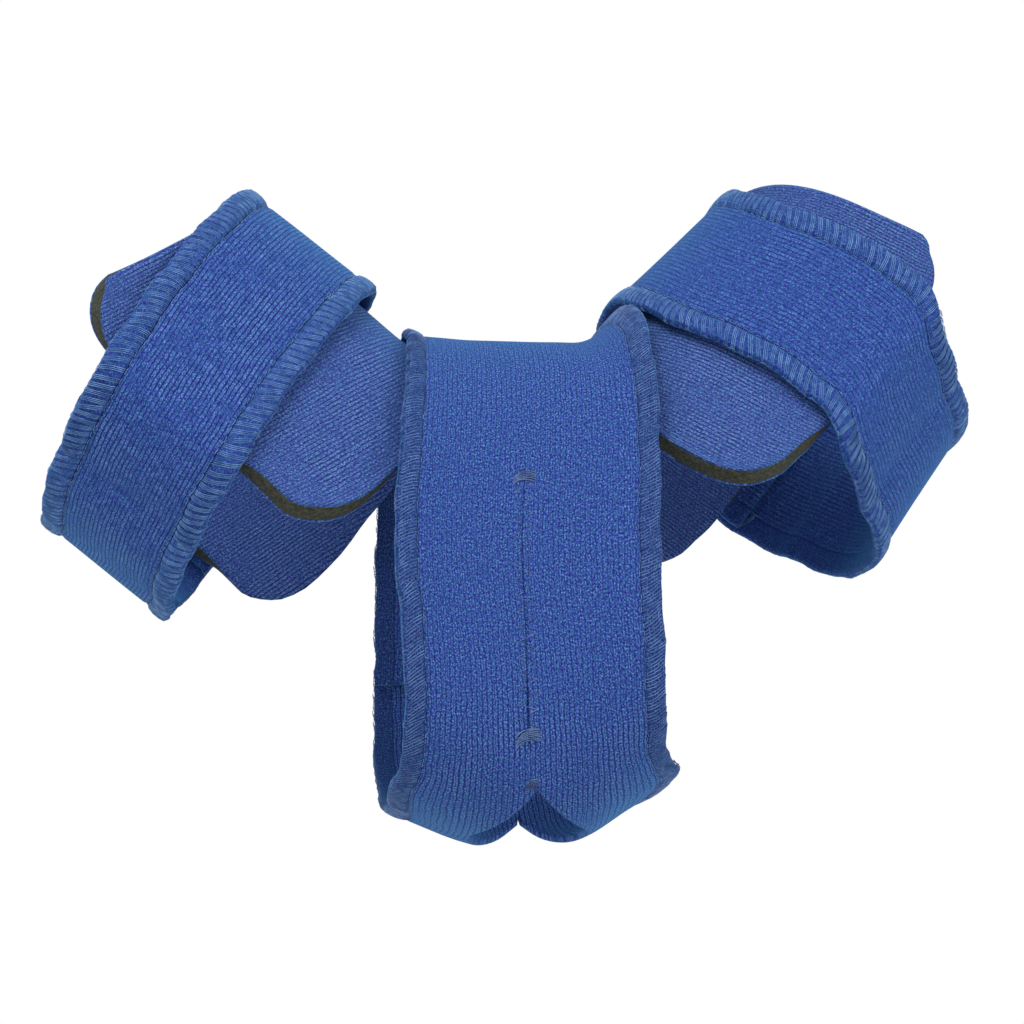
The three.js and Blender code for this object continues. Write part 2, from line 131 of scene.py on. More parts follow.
STRAP_THICKNESS = 2.6
HEM_WIDTH = 7
HEM_THICKNESS = 3.5
ELBOW_HEM_WIDTH = 5.8
UPPER_STRAP_WIDTH = 47
FOREARM_STRAP_WIDTH = 55
ELBOW_STRAP_WIDTH = 77
WEAR_GAP = 0.3
SLACK_START = 2
SLACK_ANGLE = 26

LAP_START_ANGLE = 250
LAP_RAMP_ANGLE = 34
LAP_LEVEL_ANGLE = 2
LAP_PAST_TAB = 8
TAB_THICKNESS = 1.4
TAB_GAP = 0.6
TAB_GRIP = 26
TAB_REACH = 12
TAB_SIDE_GAP = 2
TAB_CORNER_RADIUS = 8
LAP_RISE = max(STRAP_THICKNESS + TAB_THICKNESS, HEM_THICKNESS) + 2 * TAB_GAP

TIP_OPENING_WIDTH = 34
TIP_OPENING_LENGTH = 74
FULL_TURN = 360
DEGREE = math.pi / 180
TINY = 1e-3
NO_LENGTH = 1e-9
print("the pad is", round(PAD_THICKNESS, 1), "mm thick, and a lap rises by", round(LAP_RISE, 1), "mm")

# %% [markdown]
# ## Tables
# A table has named columns and a row for each place where something changes. `read` draws a smooth
# curve through the rows that never swings past them, so a table stays short and still gives a
# flowing shape. It works on whole arrays at once, because each strap has thousands of points.
# The elbow strap's hems flare a little past its width, so the table across it has a row past each
# hem.

# %% Tables and the two ways to mix
def table(names, *rows):
    return dict(zip(names.split(), np.array(rows, float).T))


def read(rows, key, at, column):
    x, y = rows[key], rows[column]
    slope = np.diff(y) / np.diff(x)
    before, after = slope[:-1], slope[1:]
    same = before * after > 0
    total = np.where(same, before + after, 1)
    tangent = np.concatenate((slope[:1], np.where(same, 2 * before * after / total, 0), slope[-1:]))
    at = np.clip(at, x[0], x[-1])
    i = np.clip(np.searchsorted(x, at) - 1, 0, len(x) - 2)
    span = x[i + 1] - x[i]
    t = (at - x[i]) / span
    bend = tangent[i] * (1 - t) - tangent[i + 1] * t
    ends = y[i] * (1 + 2 * t) * (1 - t) ** 2 + y[i + 1] * t * t * (3 - 2 * t)
    return ends + span * t * (1 - t) * bend


def smooth(share):
    held = np.clip(share, 0, 1)
    return held * held * (3 - 2 * held)


def mix(start, end, share):
    return start + (end - start) * share


UPPER_OUTLINE = table(
    "bend run wrap",
    (0, 0, 0), (0.2, 0, 0.16), (0.37, 0, 0.46), (0.49, 0, 0.71),
    (0.61, 0, 0.88), (0.78, 0, 0.99), (1, 0, 1), (1, 1, 0.97),
)
FOREARM_OUTLINE = table(
    "bend run wrap",
    (0, 0, 0), (0.25, 0, 0.08), (0.44, 0, 0.25), (0.54, 0, 0.46), (0.69, 0, 0.75),
    (0.8, 0, 0.88), (0.94, 0, 0.95), (1, 0.2, 0.985), (1, 1, 1),
)
UPPER_STRAP_ROUND = table(
    "angle clear curl",
    (-180, 0.11, 0), (-90, 0.26, 0), (-40, 0.43, 0.2), (10, 0.49, 1.5),
    (40, 0.47, 0.4), (80, 0.4, 0), (130, 0.23, 0), (180, 0.11, 0),
)
FOREARM_STRAP_ROUND = table(
    "angle clear curl",
    (-180, 0.09, 0.4), (-90, 0.21, 0.4), (0, 0.22, 1), (45, 0.05, 0.2),
    (75, 0.13, 0.2), (95, 0.14, 0.2), (115, 0.03, 0.4), (180, 0.09, 0.4),
)
ELBOW_STRAP_ROUND = table(
    "angle shift width spread",
    (-180, 0, 1, 0.13), (-90, 0.026, 1, 1.08), (0, -0.078, 0.9, 1.2),
    (90, -0.175, 0.97, 1.08), (125, -0.13, 0.95, 0.78), (180, 0, 1, 0.13),
)
ELBOW_STRAP_ACROSS = table(
    "across lift bulge tip taut",
    (-0.12, 0.65, 1.3, 0.214, -0.8),
    (0, 0.5, 1, 0.16, -0.5), (0.12, 0.35, 0.7, 0.106, -0.2), (0.3, 0.1, 0.2, 0.04, 0.2),
    (0.5, 0.1, 0, 0, 0.7), (0.7, 0.1, 0.7, 0.053, 1), (0.88, 0.25, 1.7, 0.172, 1),
    (1, 0.25, 2, 0.252, 1), (1.12, 0.25, 2.3, 0.332, 1),
)
print("elbow strap's shift at the near side:", float(read(ELBOW_STRAP_ROUND, "angle", 90, "shift")))

# %% [markdown]
# ## A bent form to wrap
# A soft brace has no shape of its own: it takes the shape of what it is wrapped round. So the
# lesson describes a bent form with two limbs, as numbers alone, and never makes it. Each limb leaves
# the crook line at the end of a bend, and each section of a limb is a rounded square. Every cloth
# surface is then an offset from one of these sections.

# %% The two limbs and their sections
def make_limb(side, rise, depth, width, swell, wrap, run, reach, outline):
    turn = rise * DEGREE
    bend = CROOK_BEND_RADIUS
    start_x = CROOK_MIDDLE + side * (CROOK_BRIDGE / 2 + bend * math.sin(turn))
    return SimpleNamespace(
        side=side, turn=turn, depth=depth, width=width, swell=swell,
        wrap=wrap, run=run, reach=reach, outline=outline, bend_length=bend * turn,
        start=np.array((start_x, 0, CROOK_HEIGHT + bend * (1 - math.cos(turn)))),
        along=np.array((side * math.cos(turn), 0, math.sin(turn))),
        down=np.array((side * math.sin(turn), 0, -math.cos(turn))),
    )


upper_arm = make_limb(-1, 39, 94, 93, 0.02, 110, 50, 15, UPPER_OUTLINE)
forearm = make_limb(1, 48.5, 97, 91, -0.05, 103, 72, 10, FOREARM_OUTLINE)
print("the limbs start at x:", [round(float(limb.start[0]), 1) for limb in (upper_arm, forearm)])


def limb_section(limb, along):
    along = np.asarray(along, float)
    return SimpleNamespace(
        crook=limb.start + along[..., None] * limb.along,
        down=limb.down,
        half_depth=limb.depth / 2 + limb.swell * along,
        half_width=limb.width / 2 + limb.swell * along,
    )


def crook_section(limb, distance):
    past = np.abs(distance) - CROOK_BRIDGE / 2
    turn = np.clip(past / CROOK_BEND_RADIUS, 0, limb.turn)
    beyond = np.maximum(past - limb.bend_length, 0)
    level = np.minimum(np.abs(distance), CROOK_BRIDGE / 2)
    share = smooth(turn / limb.turn)
    limb_there = limb_section(limb, beyond)
    x = CROOK_MIDDLE + limb.side * (level + CROOK_BEND_RADIUS * np.sin(turn))
    z = CROOK_HEIGHT + CROOK_BEND_RADIUS * (1 - np.cos(turn))
    on_bend = np.stack((x, 0 * x, z), -1)
    down = np.stack((limb.side * np.sin(turn), 0 * x, -np.cos(turn)), -1)
    return SimpleNamespace(
        crook=on_bend + beyond[..., None] * limb.along,
        down=down,
        half_depth=mix((CROOK_HEIGHT + ELBOW_TIP_DROP) / 2, limb_there.half_depth, share),
        half_width=mix(ELBOW_WIDTH / 2, limb_there.half_width, share),
    )


def girth(angle, half_depth, half_width, squareness):
    deep = np.abs(np.cos(angle)) / half_depth
    wide = np.abs(np.sin(angle)) / half_width
    return (deep**squareness + wide**squareness) ** (-1 / squareness)


def section_point(section, angle):
    reach = girth(angle, section.half_depth, section.half_width, ARM_SQUARENESS)
    sunk = (section.half_depth - reach * np.cos(angle))[..., None]
    side = -reach * np.sin(angle)
    return section.crook + section.down * sunk + np.stack((0 * side, side, 0 * side), -1)


def section_middle(section):
    return section.crook + section.down * section.half_depth[..., None]


def stand_off(surface, u, v, inside, height):
    here = surface(u, v)
    along_u = surface(u + TINY, v) - surface(u - TINY, v)
    along_v = surface(u, v + TINY) - surface(u, v - TINY)
    normal = np.cross(along_u, along_v)
    normal /= np.linalg.norm(normal, axis=-1, keepdims=True)
    outward = np.sum(normal * (here - inside), -1, keepdims=True)
    return here + np.where(outward < 0, -normal, normal) * np.asarray(height)[..., None]


# %% [markdown]
# ## Where each sheet lies
# Each function takes a place on the flat cloth and a height above its inside, and gives the point in
# space. The pad is measured along the crook line and round the form. A strap is measured along its
# length, as the angle that it has turned, and across its width.

# %% The pad's points
def pad_flare(wrap, angle):
    before = wrap - PAD_FLARE_ANGLE
    return PAD_EDGE_FLARE * smooth((np.abs(angle) / DEGREE - before) / PAD_FLARE_ANGLE)


def pad_wrap(limb, distance):
    past = np.abs(distance) - CROOK_BRIDGE / 2
    rows = {
        "at": limb.outline["bend"] * limb.bend_length + limb.outline["run"] * limb.run,
        "wrap": mix(PAD_WAIST_WRAP, limb.wrap, limb.outline["wrap"]),
    }
    wrap = read(rows, "at", past, "wrap") * DEGREE
    corner = np.clip((past - limb.bend_length - limb.run) / PAD_CORNER_RADIUS + 1, 0, 1)
    cut = (1 - np.sqrt(1 - corner * corner)) * PAD_CORNER_RADIUS
    return wrap - cut / (limb.width / 2 + limb.swell * limb.run)


def pad_point_on(limb, distance, share, height):
    past = np.abs(distance) - CROOK_BRIDGE / 2 - limb.bend_length
    at = distance + limb.side * limb.reach * share * share * smooth(past / limb.run)
    angle = share * pad_wrap(limb, distance)
    inside = section_middle(crook_section(limb, at))
    flared = height + WEAR_GAP + pad_flare(limb.wrap, angle)
    return stand_off(lambda a, b: section_point(crook_section(limb, a), b), at, angle, inside, flared)


def pad_point(distance, share, height):
    distance, share, height = np.broadcast_arrays(distance, share, height)
    on_upper = pad_point_on(upper_arm, distance, share, height)
    on_forearm = pad_point_on(forearm, distance, share, height)
    return np.where((distance < 0)[..., None], on_upper, on_forearm)


print("the pad's near edge at its waist:", pad_point(1, 1, PAD_THICKNESS).round(1))

# %% The straps' points
def wrap_angle(turn):
    return np.arctan2(np.sin(turn), np.cos(turn))


def lap_height(turn):
    past = turn / DEGREE - LAP_START_ANGLE - FULL_TURN + LAP_RAMP_ANGLE
    return LAP_RISE * smooth(past / (LAP_RAMP_ANGLE - LAP_LEVEL_ANGLE))


def strap_stand_off(limb, angle):
    over_pad = WEAR_GAP + PAD_THICKNESS + STRAP_ON_PAD_GAP + pad_flare(limb.wrap, angle)
    past = (np.abs(angle) / DEGREE - limb.wrap - SLACK_START) / SLACK_ANGLE
    return mix(over_pad, WEAR_GAP, np.clip(past, 0, 1))


def elbow_strap_end(limb):
    shift, width = (read(ELBOW_STRAP_ROUND, "angle", 0, name) for name in ("shift", "width"))
    edge = (shift + limb.side * width / 2) * ELBOW_STRAP_WIDTH
    bend_end = limb.start[0]
    return limb.side * (edge - bend_end) / math.cos(limb.turn)


def arm_strap_point(strap, turn, across, height):
    turn, across, height = np.broadcast_arrays(turn, across, height)
    limb = strap.limb
    angle = wrap_angle(turn)
    clear, curl = (read(strap.round, "angle", angle / DEGREE, name) for name in ("clear", "curl"))
    along = elbow_strap_end(limb) + (clear + across) * strap.width
    raised = height + strap_stand_off(limb, angle) + curl * STRAP_THICKNESS * (1 - across)
    inside = section_middle(limb_section(limb, along))
    return stand_off(
        lambda a, b: section_point(limb_section(limb, a), b), along, angle, inside,
        raised + lap_height(turn),
    )


def crook_half_width(x):
    on_upper = x < CROOK_MIDDLE
    past = np.abs(x - CROOK_MIDDLE) - CROOK_BRIDGE / 2
    turn = np.where(on_upper, upper_arm.turn, forearm.turn)
    width = np.where(on_upper, upper_arm.width, forearm.width)
    return mix(ELBOW_WIDTH / 2, width / 2, smooth(past / (CROOK_BEND_RADIUS * np.sin(turn))))


def pad_top(x):
    turn = np.where(x < CROOK_MIDDLE, upper_arm.turn, forearm.turn)
    past = np.maximum(np.abs(x - CROOK_MIDDLE) - CROOK_BRIDGE / 2, 0)
    radius = CROOK_BEND_RADIUS - PAD_THICKNESS - WEAR_GAP
    bend = radius * np.sin(turn)
    on_bend = radius - np.sqrt(radius**2 - np.minimum(past, bend) ** 2)
    return CROOK_HEIGHT + PAD_THICKNESS + WEAR_GAP + on_bend + np.maximum(past - bend, 0) * np.tan(turn)


def elbow_strap_surface(turn, across):
    angle = wrap_angle(turn)
    shift, width, spread = (
        read(ELBOW_STRAP_ROUND, "angle", angle / DEGREE, name) for name in ("shift", "width", "spread")
    )
    lift, bulge, tip, taut = (
        read(ELBOW_STRAP_ACROSS, "across", across, name) for name in ("lift", "bulge", "tip", "taut")
    )
    x = ELBOW_STRAP_WIDTH * (shift + (across - 0.5) * width)
    in_crook = np.cos(angle) > 0
    over_pad = pad_top(x) + WEAR_GAP + lift * STRAP_THICKNESS
    half_depth = np.where(in_crook, over_pad, ELBOW_TIP_DROP * (1 - tip))
    half_width = crook_half_width(x) + spread * PAD_THICKNESS + bulge * PAD_EDGE_FLARE
    squareness = ARM_SQUARENESS + STRAP_TAUTNESS * np.where(in_crook, taut, 1)
    reach = girth(angle, half_depth, half_width, squareness)
    return np.stack((x, -reach * np.sin(angle), reach * np.cos(angle)), -1)


def elbow_strap_point(strap, turn, across, height):
    turn, across, height = np.broadcast_arrays(turn, across, height)
    inside = elbow_strap_surface(turn, across) * (1, 0, 0)
    return stand_off(elbow_strap_surface, turn, across, inside, height + lap_height(turn))


def make_strap(limb, rows, width, place, arc_radius, **stitching):
    lap = (TAB_GRIP + LAP_PAST_TAB) / (arc_radius * DEGREE)
    return SimpleNamespace(
        limb=limb, round=rows, width=width, place=place, arc=arc_radius * DEGREE,
        end=LAP_START_ANGLE + FULL_TURN + lap, **stitching,
    )


def arm_strap(limb, rows, width, pitch, phase):
    radius = limb.width / 2 + limb.swell * width / 2
    return make_strap(
        limb, rows, width, arm_strap_point, radius,
        pitch=pitch, lean=0.4, threads=3, phase=phase, flare=NO_FLARE, hem=HEM_WIDTH, roll=1,
    )


edges_on_limbs = [round(float(elbow_strap_end(limb)), 1) for limb in (upper_arm, forearm)]
print("the elbow strap ends on each limb, in mm from its bend:", edges_on_limbs)

# %% [markdown]
# Knit cloth never lies dead straight. `strap_point` lets each hem wander by a fraction of a
# millimetre and lifts the cloth a little here and there. Where the elbow strap turns under the
# bend its hems flare out, and a small table says how far. Every stitch is placed with the same
# function, so the thread follows the cloth.

# %% The three straps, with the slight waves of worn cloth
HEM_WAVE = 0.22
CLOTH_RIPPLE = 0.22
WAVE_REACH = 15
WAVES_AROUND = (17, 31)
RIPPLES_AROUND = 9
RIPPLE_SLANT = 5
FLARE_LIFT = 1 / 3
NO_FLARE = table("turn low high", (0, 0, 0), (720, 0, 0))
ELBOW_FLARE = table(
    "turn low high", (0, 0, 0), (500, 0, 0), (510, 0.4, 2), (519, 2.2, 4.2), (530, 2.2, 2.8),
    (548, 0, 0), (720, 0, 0),
)

upper_arm_strap = arm_strap(upper_arm, UPPER_STRAP_ROUND, UPPER_STRAP_WIDTH, pitch=2.3, phase=0.4)
forearm_strap = arm_strap(forearm, FOREARM_STRAP_ROUND, FOREARM_STRAP_WIDTH, pitch=2.4, phase=2.1)
elbow_strap = make_strap(
    None, ELBOW_STRAP_ROUND, ELBOW_STRAP_WIDTH, elbow_strap_point, ELBOW_WIDTH / 2,
    pitch=1.9, lean=0.55, threads=2, phase=4.4, flare=ELBOW_FLARE, hem=ELBOW_HEM_WIDTH, roll=0.6,
)


def strap_point(strap, turn, across, height):
    turn, across, height = np.broadcast_arrays(turn, across, height)
    inset = np.minimum(across, 1 - across) * strap.width
    at_edge = 1 - smooth(inset / WAVE_REACH)
    side = np.where(across < 0.5, -1, 1)
    slow, quick = WAVES_AROUND
    swing = np.sin(slow * turn + strap.phase + side) + np.sin(quick * turn + 2 * strap.phase) / 2
    ripple = 1 + np.sin(RIPPLES_AROUND * turn + RIPPLE_SLANT * across + strap.phase)
    low, high = (read(strap.flare, "turn", turn / DEGREE, name) for name in ("low", "high"))
    flare = np.where(across < 0.5, low, high) * (1 - smooth((inset - strap.hem) / WAVE_REACH))
    moved = across + side * (HEM_WAVE * swing * at_edge + flare) / strap.width
    raised = height + CLOTH_RIPPLE * ripple / 2 + FLARE_LIFT * flare
    return strap.place(strap, turn, moved, raised)


straps = {"upper_arm": upper_arm_strap, "forearm": forearm_strap, "elbow": elbow_strap}
for label, strap in straps.items():
    print(label, "strap turns from", LAP_START_ANGLE, "to", round(strap.end), "degrees")

# %% [markdown]
# ## From grids to closed cloth
# A sheet of cloth has two faces and a cut edge, so each piece is two grids of points, one for the
# underside and one for the top, joined by walls round the rim. The grids are worked out with NumPy
# and handed to Blender as one mesh. A UV map in millimetres carries the knit, and two named
# attributes tell the material how far a point is from the hem's edge, in hem widths, and how much
# of the ribs' relief is left where the cloth is stretched.

# %% Helpers that make closed sheets
def evenly(start, end, count):
    return np.linspace(start, end, count)


def grid_faces(ids):
    corners = (ids[:-1, :-1], ids[1:, :-1], ids[1:, 1:], ids[:-1, 1:])
    return np.stack(corners, -1).reshape(-1, 4)


def wall_faces(low, high):
    return np.stack((low[:-1], low[1:], high[1:], high[:-1]), -1)


def sheet_faces(under, over, inner_wall=slice(None)):
    return np.concatenate((
        grid_faces(under), grid_faces(over),
        wall_faces(under[0], over[0]), wall_faces(under[-1], over[-1]),
        wall_faces(under[:, 0], over[:, 0]), wall_faces(under[:, -1], over[:, -1])[inner_wall],
    ))


def add_object(name, mesh):
    made = bpy.data.objects.new(name, mesh)
    bpy.context.scene.collection.objects.link(made)
    return made


print("a grid of 3 by 3 points has", len(grid_faces(np.arange(9).reshape(3, 3))), "faces")


# %% A closed mesh with its UV map and attributes
def closed_mesh(name, points, faces, uv, **values):
    """A closed mesh. Each further value is a named attribute, with a number for each point."""
    used, faces = np.unique(faces, return_inverse=True)
    mesh = bpy.data.meshes.new(name)
    mesh.from_pydata((points[used] * MM).tolist(), [], faces.reshape(-1, 4).tolist())
    shell = bmesh.new()
    shell.from_mesh(mesh)
    bmesh.ops.recalc_face_normals(shell, faces=shell.faces)
    open_edges = sum(not edge.is_manifold for edge in shell.edges)
    shell.to_mesh(mesh)
    shell.free()
    corner = np.empty(len(mesh.loops), int)
    mesh.loops.foreach_get("vertex_index", corner)
    mesh.uv_layers.new(name="cloth").data.foreach_set("uv", uv[used][corner].ravel())
    for label, numbers in values.items():
        data = mesh.attributes.new(label, "FLOAT", "POINT").data
        data.foreach_set("value", np.broadcast_to(numbers, len(points))[used].astype(np.float32))
    mesh.shade_smooth()
    print(name, len(mesh.polygons), "faces,", open_edges, "open edges")
    return add_object(name, mesh)


# %% [markdown]
# ## The arm straps
# A strap is a laminate of two knit faces on thin foam. Its long edges are overlocked: the cloth is
# rolled and bound with thread, so the edge is thicker and round, and a groove runs where the needle
# thread pulls down. One table gives that section, as shares of the hem's width and of the cloth's
# thickness. The elbow strap is stretched more, so its hem is narrower and rolls less.

# %% The section of a hem and the arm straps
HEM_SECTION = table(
    "inset under over",
    (0, 0.46, 0.83), (0.03, 0.23, 1.1), (0.1, 0.08, 1.28), (0.2, 0, 1.36), (0.37, 0, 1.39),
    (0.62, 0, 1.36), (0.8, 0, 1.28), (0.91, 0, 1.12), (0.98, 0, 0.88), (1.03, 0, 0.78),
    (1.08, 0, 0.84), (1.15, 0, 0.94), (1.26, 0, 1),
)
STATION_STEP = 1.5
COLUMN_STEP = 1.8


def hem_height(strap, face, inset):
    """Height of one face of the hem. inset is the distance from its edge, in hem widths."""
    level = 1 if face == "over" else 0
    share = np.interp(inset, HEM_SECTION["inset"], HEM_SECTION[face])
    return STRAP_THICKNESS * mix(level, share, strap.roll)


def strap_turns(strap):
    count = int((strap.end - LAP_START_ANGLE) * strap.arc / STATION_STEP)
    return evenly(LAP_START_ANGLE, strap.end, count) * DEGREE


def strap_length(strap, turns):
    middle = strap_point(strap, turns, 0.5, STRAP_THICKNESS / 2)
    steps = np.linalg.norm(np.diff(middle, axis=0), axis=1)
    return np.concatenate(([0], np.cumsum(steps)))


def make_arm_strap(name, strap):
    inset = HEM_SECTION["inset"] * strap.hem
    count = int((strap.width - 2 * inset[-1]) / COLUMN_STEP)
    flat = evenly(inset[-1], strap.width - inset[-1], count)[1:-1]
    columns = np.concatenate((inset, flat, strap.width - inset[::-1])) / strap.width
    flat_under, flat_over = 0 * flat, 0 * flat + STRAP_THICKNESS
    heights = []
    for face, middle in (("under", flat_under), ("over", flat_over)):
        hem = hem_height(strap, face, HEM_SECTION["inset"])
        heights.append(np.concatenate((hem, middle, hem[::-1])))
    turns = strap_turns(strap)
    along = strap_length(strap, turns)
    under, over = (strap_point(strap, turns[:, None], columns, height) for height in heights)
    ids = np.arange(2 * under[..., 0].size).reshape(2, *under.shape[:2])
    across = columns * strap.width + 0 * along[:, None]
    uv = np.stack((across, along[:, None] + 0 * across), -1).reshape(-1, 2)
    distance = np.minimum(across, strap.width - across).ravel() / strap.hem
    points = np.concatenate((under.reshape(-1, 3), over.reshape(-1, 3)))
    piece = closed_mesh(
        name, points, sheet_faces(*ids), np.tile(uv, (2, 1)), inset=np.tile(distance, 2), relief=1,
    )
    return piece, along[-1]


upper_strap_piece, upper_strap_length = make_arm_strap("upper_arm_strap_cloth", upper_arm_strap)
forearm_strap_piece, forearm_strap_length = make_arm_strap("forearm_strap_cloth", forearm_strap)
print("lengths in mm:", round(upper_strap_length), round(forearm_strap_length))

# %% [markdown]
# ## The elbow strap and its slit
# The elbow strap has a slit down its middle. On the near side a zigzag seam closes it, and under the
# bend it spreads into a pointed oval. A boolean would cut the cloth, but leave ragged faces along
# the cut, so the grid is built in two halves that meet along the slit. They share their
# points where the slit is closed and part where it is open.

# %% The slit's path and the elbow strap
SLIT_LINE = table(
    "turn across",
    (400, 0.5), (430, 0.49), (465, 0.486), (499, 0.464), (512, 0.482), (530, 0.5), (560, 0.5),
)
SEAM_START = 430
SEAM_END = 499
SEAM_FADE = 2
SEAM_RUN_OUT = 1.6
SEAM_DEPTH = 1.3
LEAST_PULL = 0.45
GROOVE_REACH = 0.2
SLIT_EDGE = table("inset under over", (1.6, 0, 1), (0.8, 0.02, 0.98), (0.3, 0.1, 0.88), (0, 0.3, 0.66))
SLIT_SAMPLES = 400
SLIT_SEARCH = (0.1, 0.9)
SLIT_TOP = -CROOK_HEIGHT / 3
OPEN_FROM = 0.25
ELBOW_RELIEF = table(
    "turn relief", (250, 1), (395, 0.8), (415, 0.65), (450, 0.5), (485, 1), (500, 1.8), (720, 1),
)


def slit_edges(turns):
    slant = math.atan(
        (ELBOW_STRAP_ROUND["shift"][1] - ELBOW_STRAP_ROUND["shift"][3]) * ELBOW_STRAP_WIDTH
        / (ELBOW_WIDTH + 2 * HEM_THICKNESS)
    )
    across = evenly(*SLIT_SEARCH, SLIT_SAMPLES)
    middle_layer = elbow_strap_point(elbow_strap, turns[:, None], across, STRAP_THICKNESS / 2)
    x, y, z = np.moveaxis(middle_layer, -1, 0)
    reach = x * math.sin(slant) + y * math.cos(slant)
    side = x * math.cos(slant) - y * math.sin(slant)
    share = np.clip(reach / TIP_OPENING_LENGTH + 0.5, 0, 1)
    half = 2 * share * (1 - share) * TIP_OPENING_WIDTH
    half = np.where(z > SLIT_TOP, 0, half)
    line = read(SLIT_LINE, "turn", turns / DEGREE, "across")
    edges = np.empty((2, len(turns)))
    for i in range(len(turns)):
        low = np.interp(0, side[i] + half[i], across)
        high = np.interp(0, side[i] - half[i], across)
        middle = line[i] if half[i].max() == 0 else (low + high) / 2
        spread = max(0, high - low) / 2 if half[i].max() > 0 else 0
        edges[:, i] = middle - spread, middle + spread
    is_open = (edges[1] - edges[0]) * ELBOW_STRAP_WIDTH > OPEN_FROM
    middle = edges.mean(0)
    return np.where(is_open, edges, middle), is_open


def seam_pull(degrees):
    """How hard the seam pulls its groove into the cloth, harder towards the opening."""
    after_start = smooth((degrees - SEAM_START) / SEAM_FADE + SEAM_RUN_OUT)
    before_end = smooth((SEAM_END - degrees) / SEAM_FADE + SEAM_RUN_OUT)
    pull = mix(LEAST_PULL, 1, smooth((degrees - SEAM_START) / (SEAM_END - SEAM_START)))
    return after_start * before_end * pull


def make_elbow_half(side, turns, edge, gape):
    """One half of the strap, from its hem to the slit. side is 0 or 1."""
    width = elbow_strap.width
    hem = HEM_SECTION["inset"] * elbow_strap.hem
    room = np.abs(edge - side) * width
    last = room - SLIT_EDGE["inset"][0]
    count = int((width / 2 - hem[-1]) / COLUMN_STEP)
    flat = hem[-1] + (last - hem[-1])[:, None] * evenly(0, 1, count)[1:-1]
    near_slit = room[:, None] - SLIT_EDGE["inset"]
    inset = np.concatenate((hem + 0 * room[:, None], flat, near_slit), 1)
    heights = []
    for face, level in (("under", 0), ("over", 1)):
        rounding = mix(level, SLIT_EDGE[face], gape[:, None]) * STRAP_THICKNESS
        if level:
            in_groove = SLIT_EDGE["inset"] < GROOVE_REACH
            groove = SEAM_DEPTH * seam_pull(turns / DEGREE)[:, None] * in_groove
            rounding = rounding - groove
        hem_part = hem_height(elbow_strap, face, HEM_SECTION["inset"]) + 0 * room[:, None]
        heights.append(np.concatenate((hem_part, flat * 0 + level * STRAP_THICKNESS, rounding), 1))
    across = side + (1 - 2 * side) * inset / width
    grids = [strap_point(elbow_strap, turns[:, None], across, height) for height in heights]
    return grids, across * width, inset / elbow_strap.hem


def make_elbow_strap(name):
    turns = strap_turns(elbow_strap)
    along = strap_length(elbow_strap, turns)
    edges, is_open = slit_edges(turns)
    gape = smooth((edges[1] - edges[0]) * elbow_strap.width / 2)
    relief = read(ELBOW_RELIEF, "turn", turns / DEGREE, "relief")
    points, faces, uvs, insets, reliefs, closing = [], [], [], [], [], []
    start = 0
    for side in (0, 1):
        grids, across, inset = make_elbow_half(side, turns, edges[side], gape)
        size = across.size
        ids = start + np.arange(2 * size).reshape(2, *across.shape)
        closing.append(ids[:, :, -1])
        if side:
            ids[:, ~is_open, -1] = closing[0][:, ~is_open]
        walls = is_open[:-1] | is_open[1:]
        faces.append(sheet_faces(*ids, inner_wall=walls))
        uv = np.stack((across, along[:, None] + 0 * across), -1).reshape(-1, 2)
        uvs += [uv, uv]
        insets += [inset.ravel(), inset.ravel()]
        reliefs += [(relief[:, None] + 0 * inset).ravel()] * 2
        points += [grid.reshape(-1, 3) for grid in grids]
        start += 2 * size
    piece = closed_mesh(
        name, np.concatenate(points), np.concatenate(faces), np.concatenate(uvs),
        inset=np.concatenate(insets), relief=np.concatenate(reliefs),
    )
    return piece, along[-1]


elbow_strap_piece, elbow_strap_length = make_elbow_strap("elbow_strap_cloth")
print("elbow strap length in mm:", round(elbow_strap_length))

# %% [markdown]
# ## The pad
# The pad is cut from foam with knit cloth bonded to both sides, and its edge is left raw, so the
# dark foam shows between two thin lines of blue. The foam is soft, so the pad swells a little
# wherever no strap presses on it. A short cloth simulation finds that swell: the pad's outside is
# held under the straps and along its rim, and a light pressure lifts the rest. Its result is kept
# as a height for each point of the grid, which the foam's top and the face then share.

# %% The pad's grid
RUN_STEP = 2
PAD_COLUMNS = 65
RIM_CROWDING = 0.35
COVERED = (-0.05, 1.02)
ELBOW_COVER = 0.52


def limb_distances(limb):
    half = CROOK_BRIDGE / 2
    bend_end = half + limb.bend_length
    corner = bend_end + limb.run - PAD_CORNER_RADIUS
    quarter = evenly(0, math.pi / 2, 12)
    parts = (
        evenly(RUN_STEP / 2, half, 10),
        evenly(half, bend_end, 22)[1:],
        evenly(bend_end, corner, int((corner - bend_end) / RUN_STEP))[1:],
        corner + PAD_CORNER_RADIUS * np.sin(quarter)[1:],
    )
    return limb.side * np.concatenate(parts)


pad_distance = np.concatenate((limb_distances(upper_arm)[::-1], limb_distances(forearm)))[:, None]
rim = np.sin(evenly(-1, 1, PAD_COLUMNS) * math.pi / 2)
pad_share = mix(evenly(-1, 1, PAD_COLUMNS), rim, RIM_CROWDING)[None]
print("pad grid:", pad_distance.size, "by", pad_share.size)


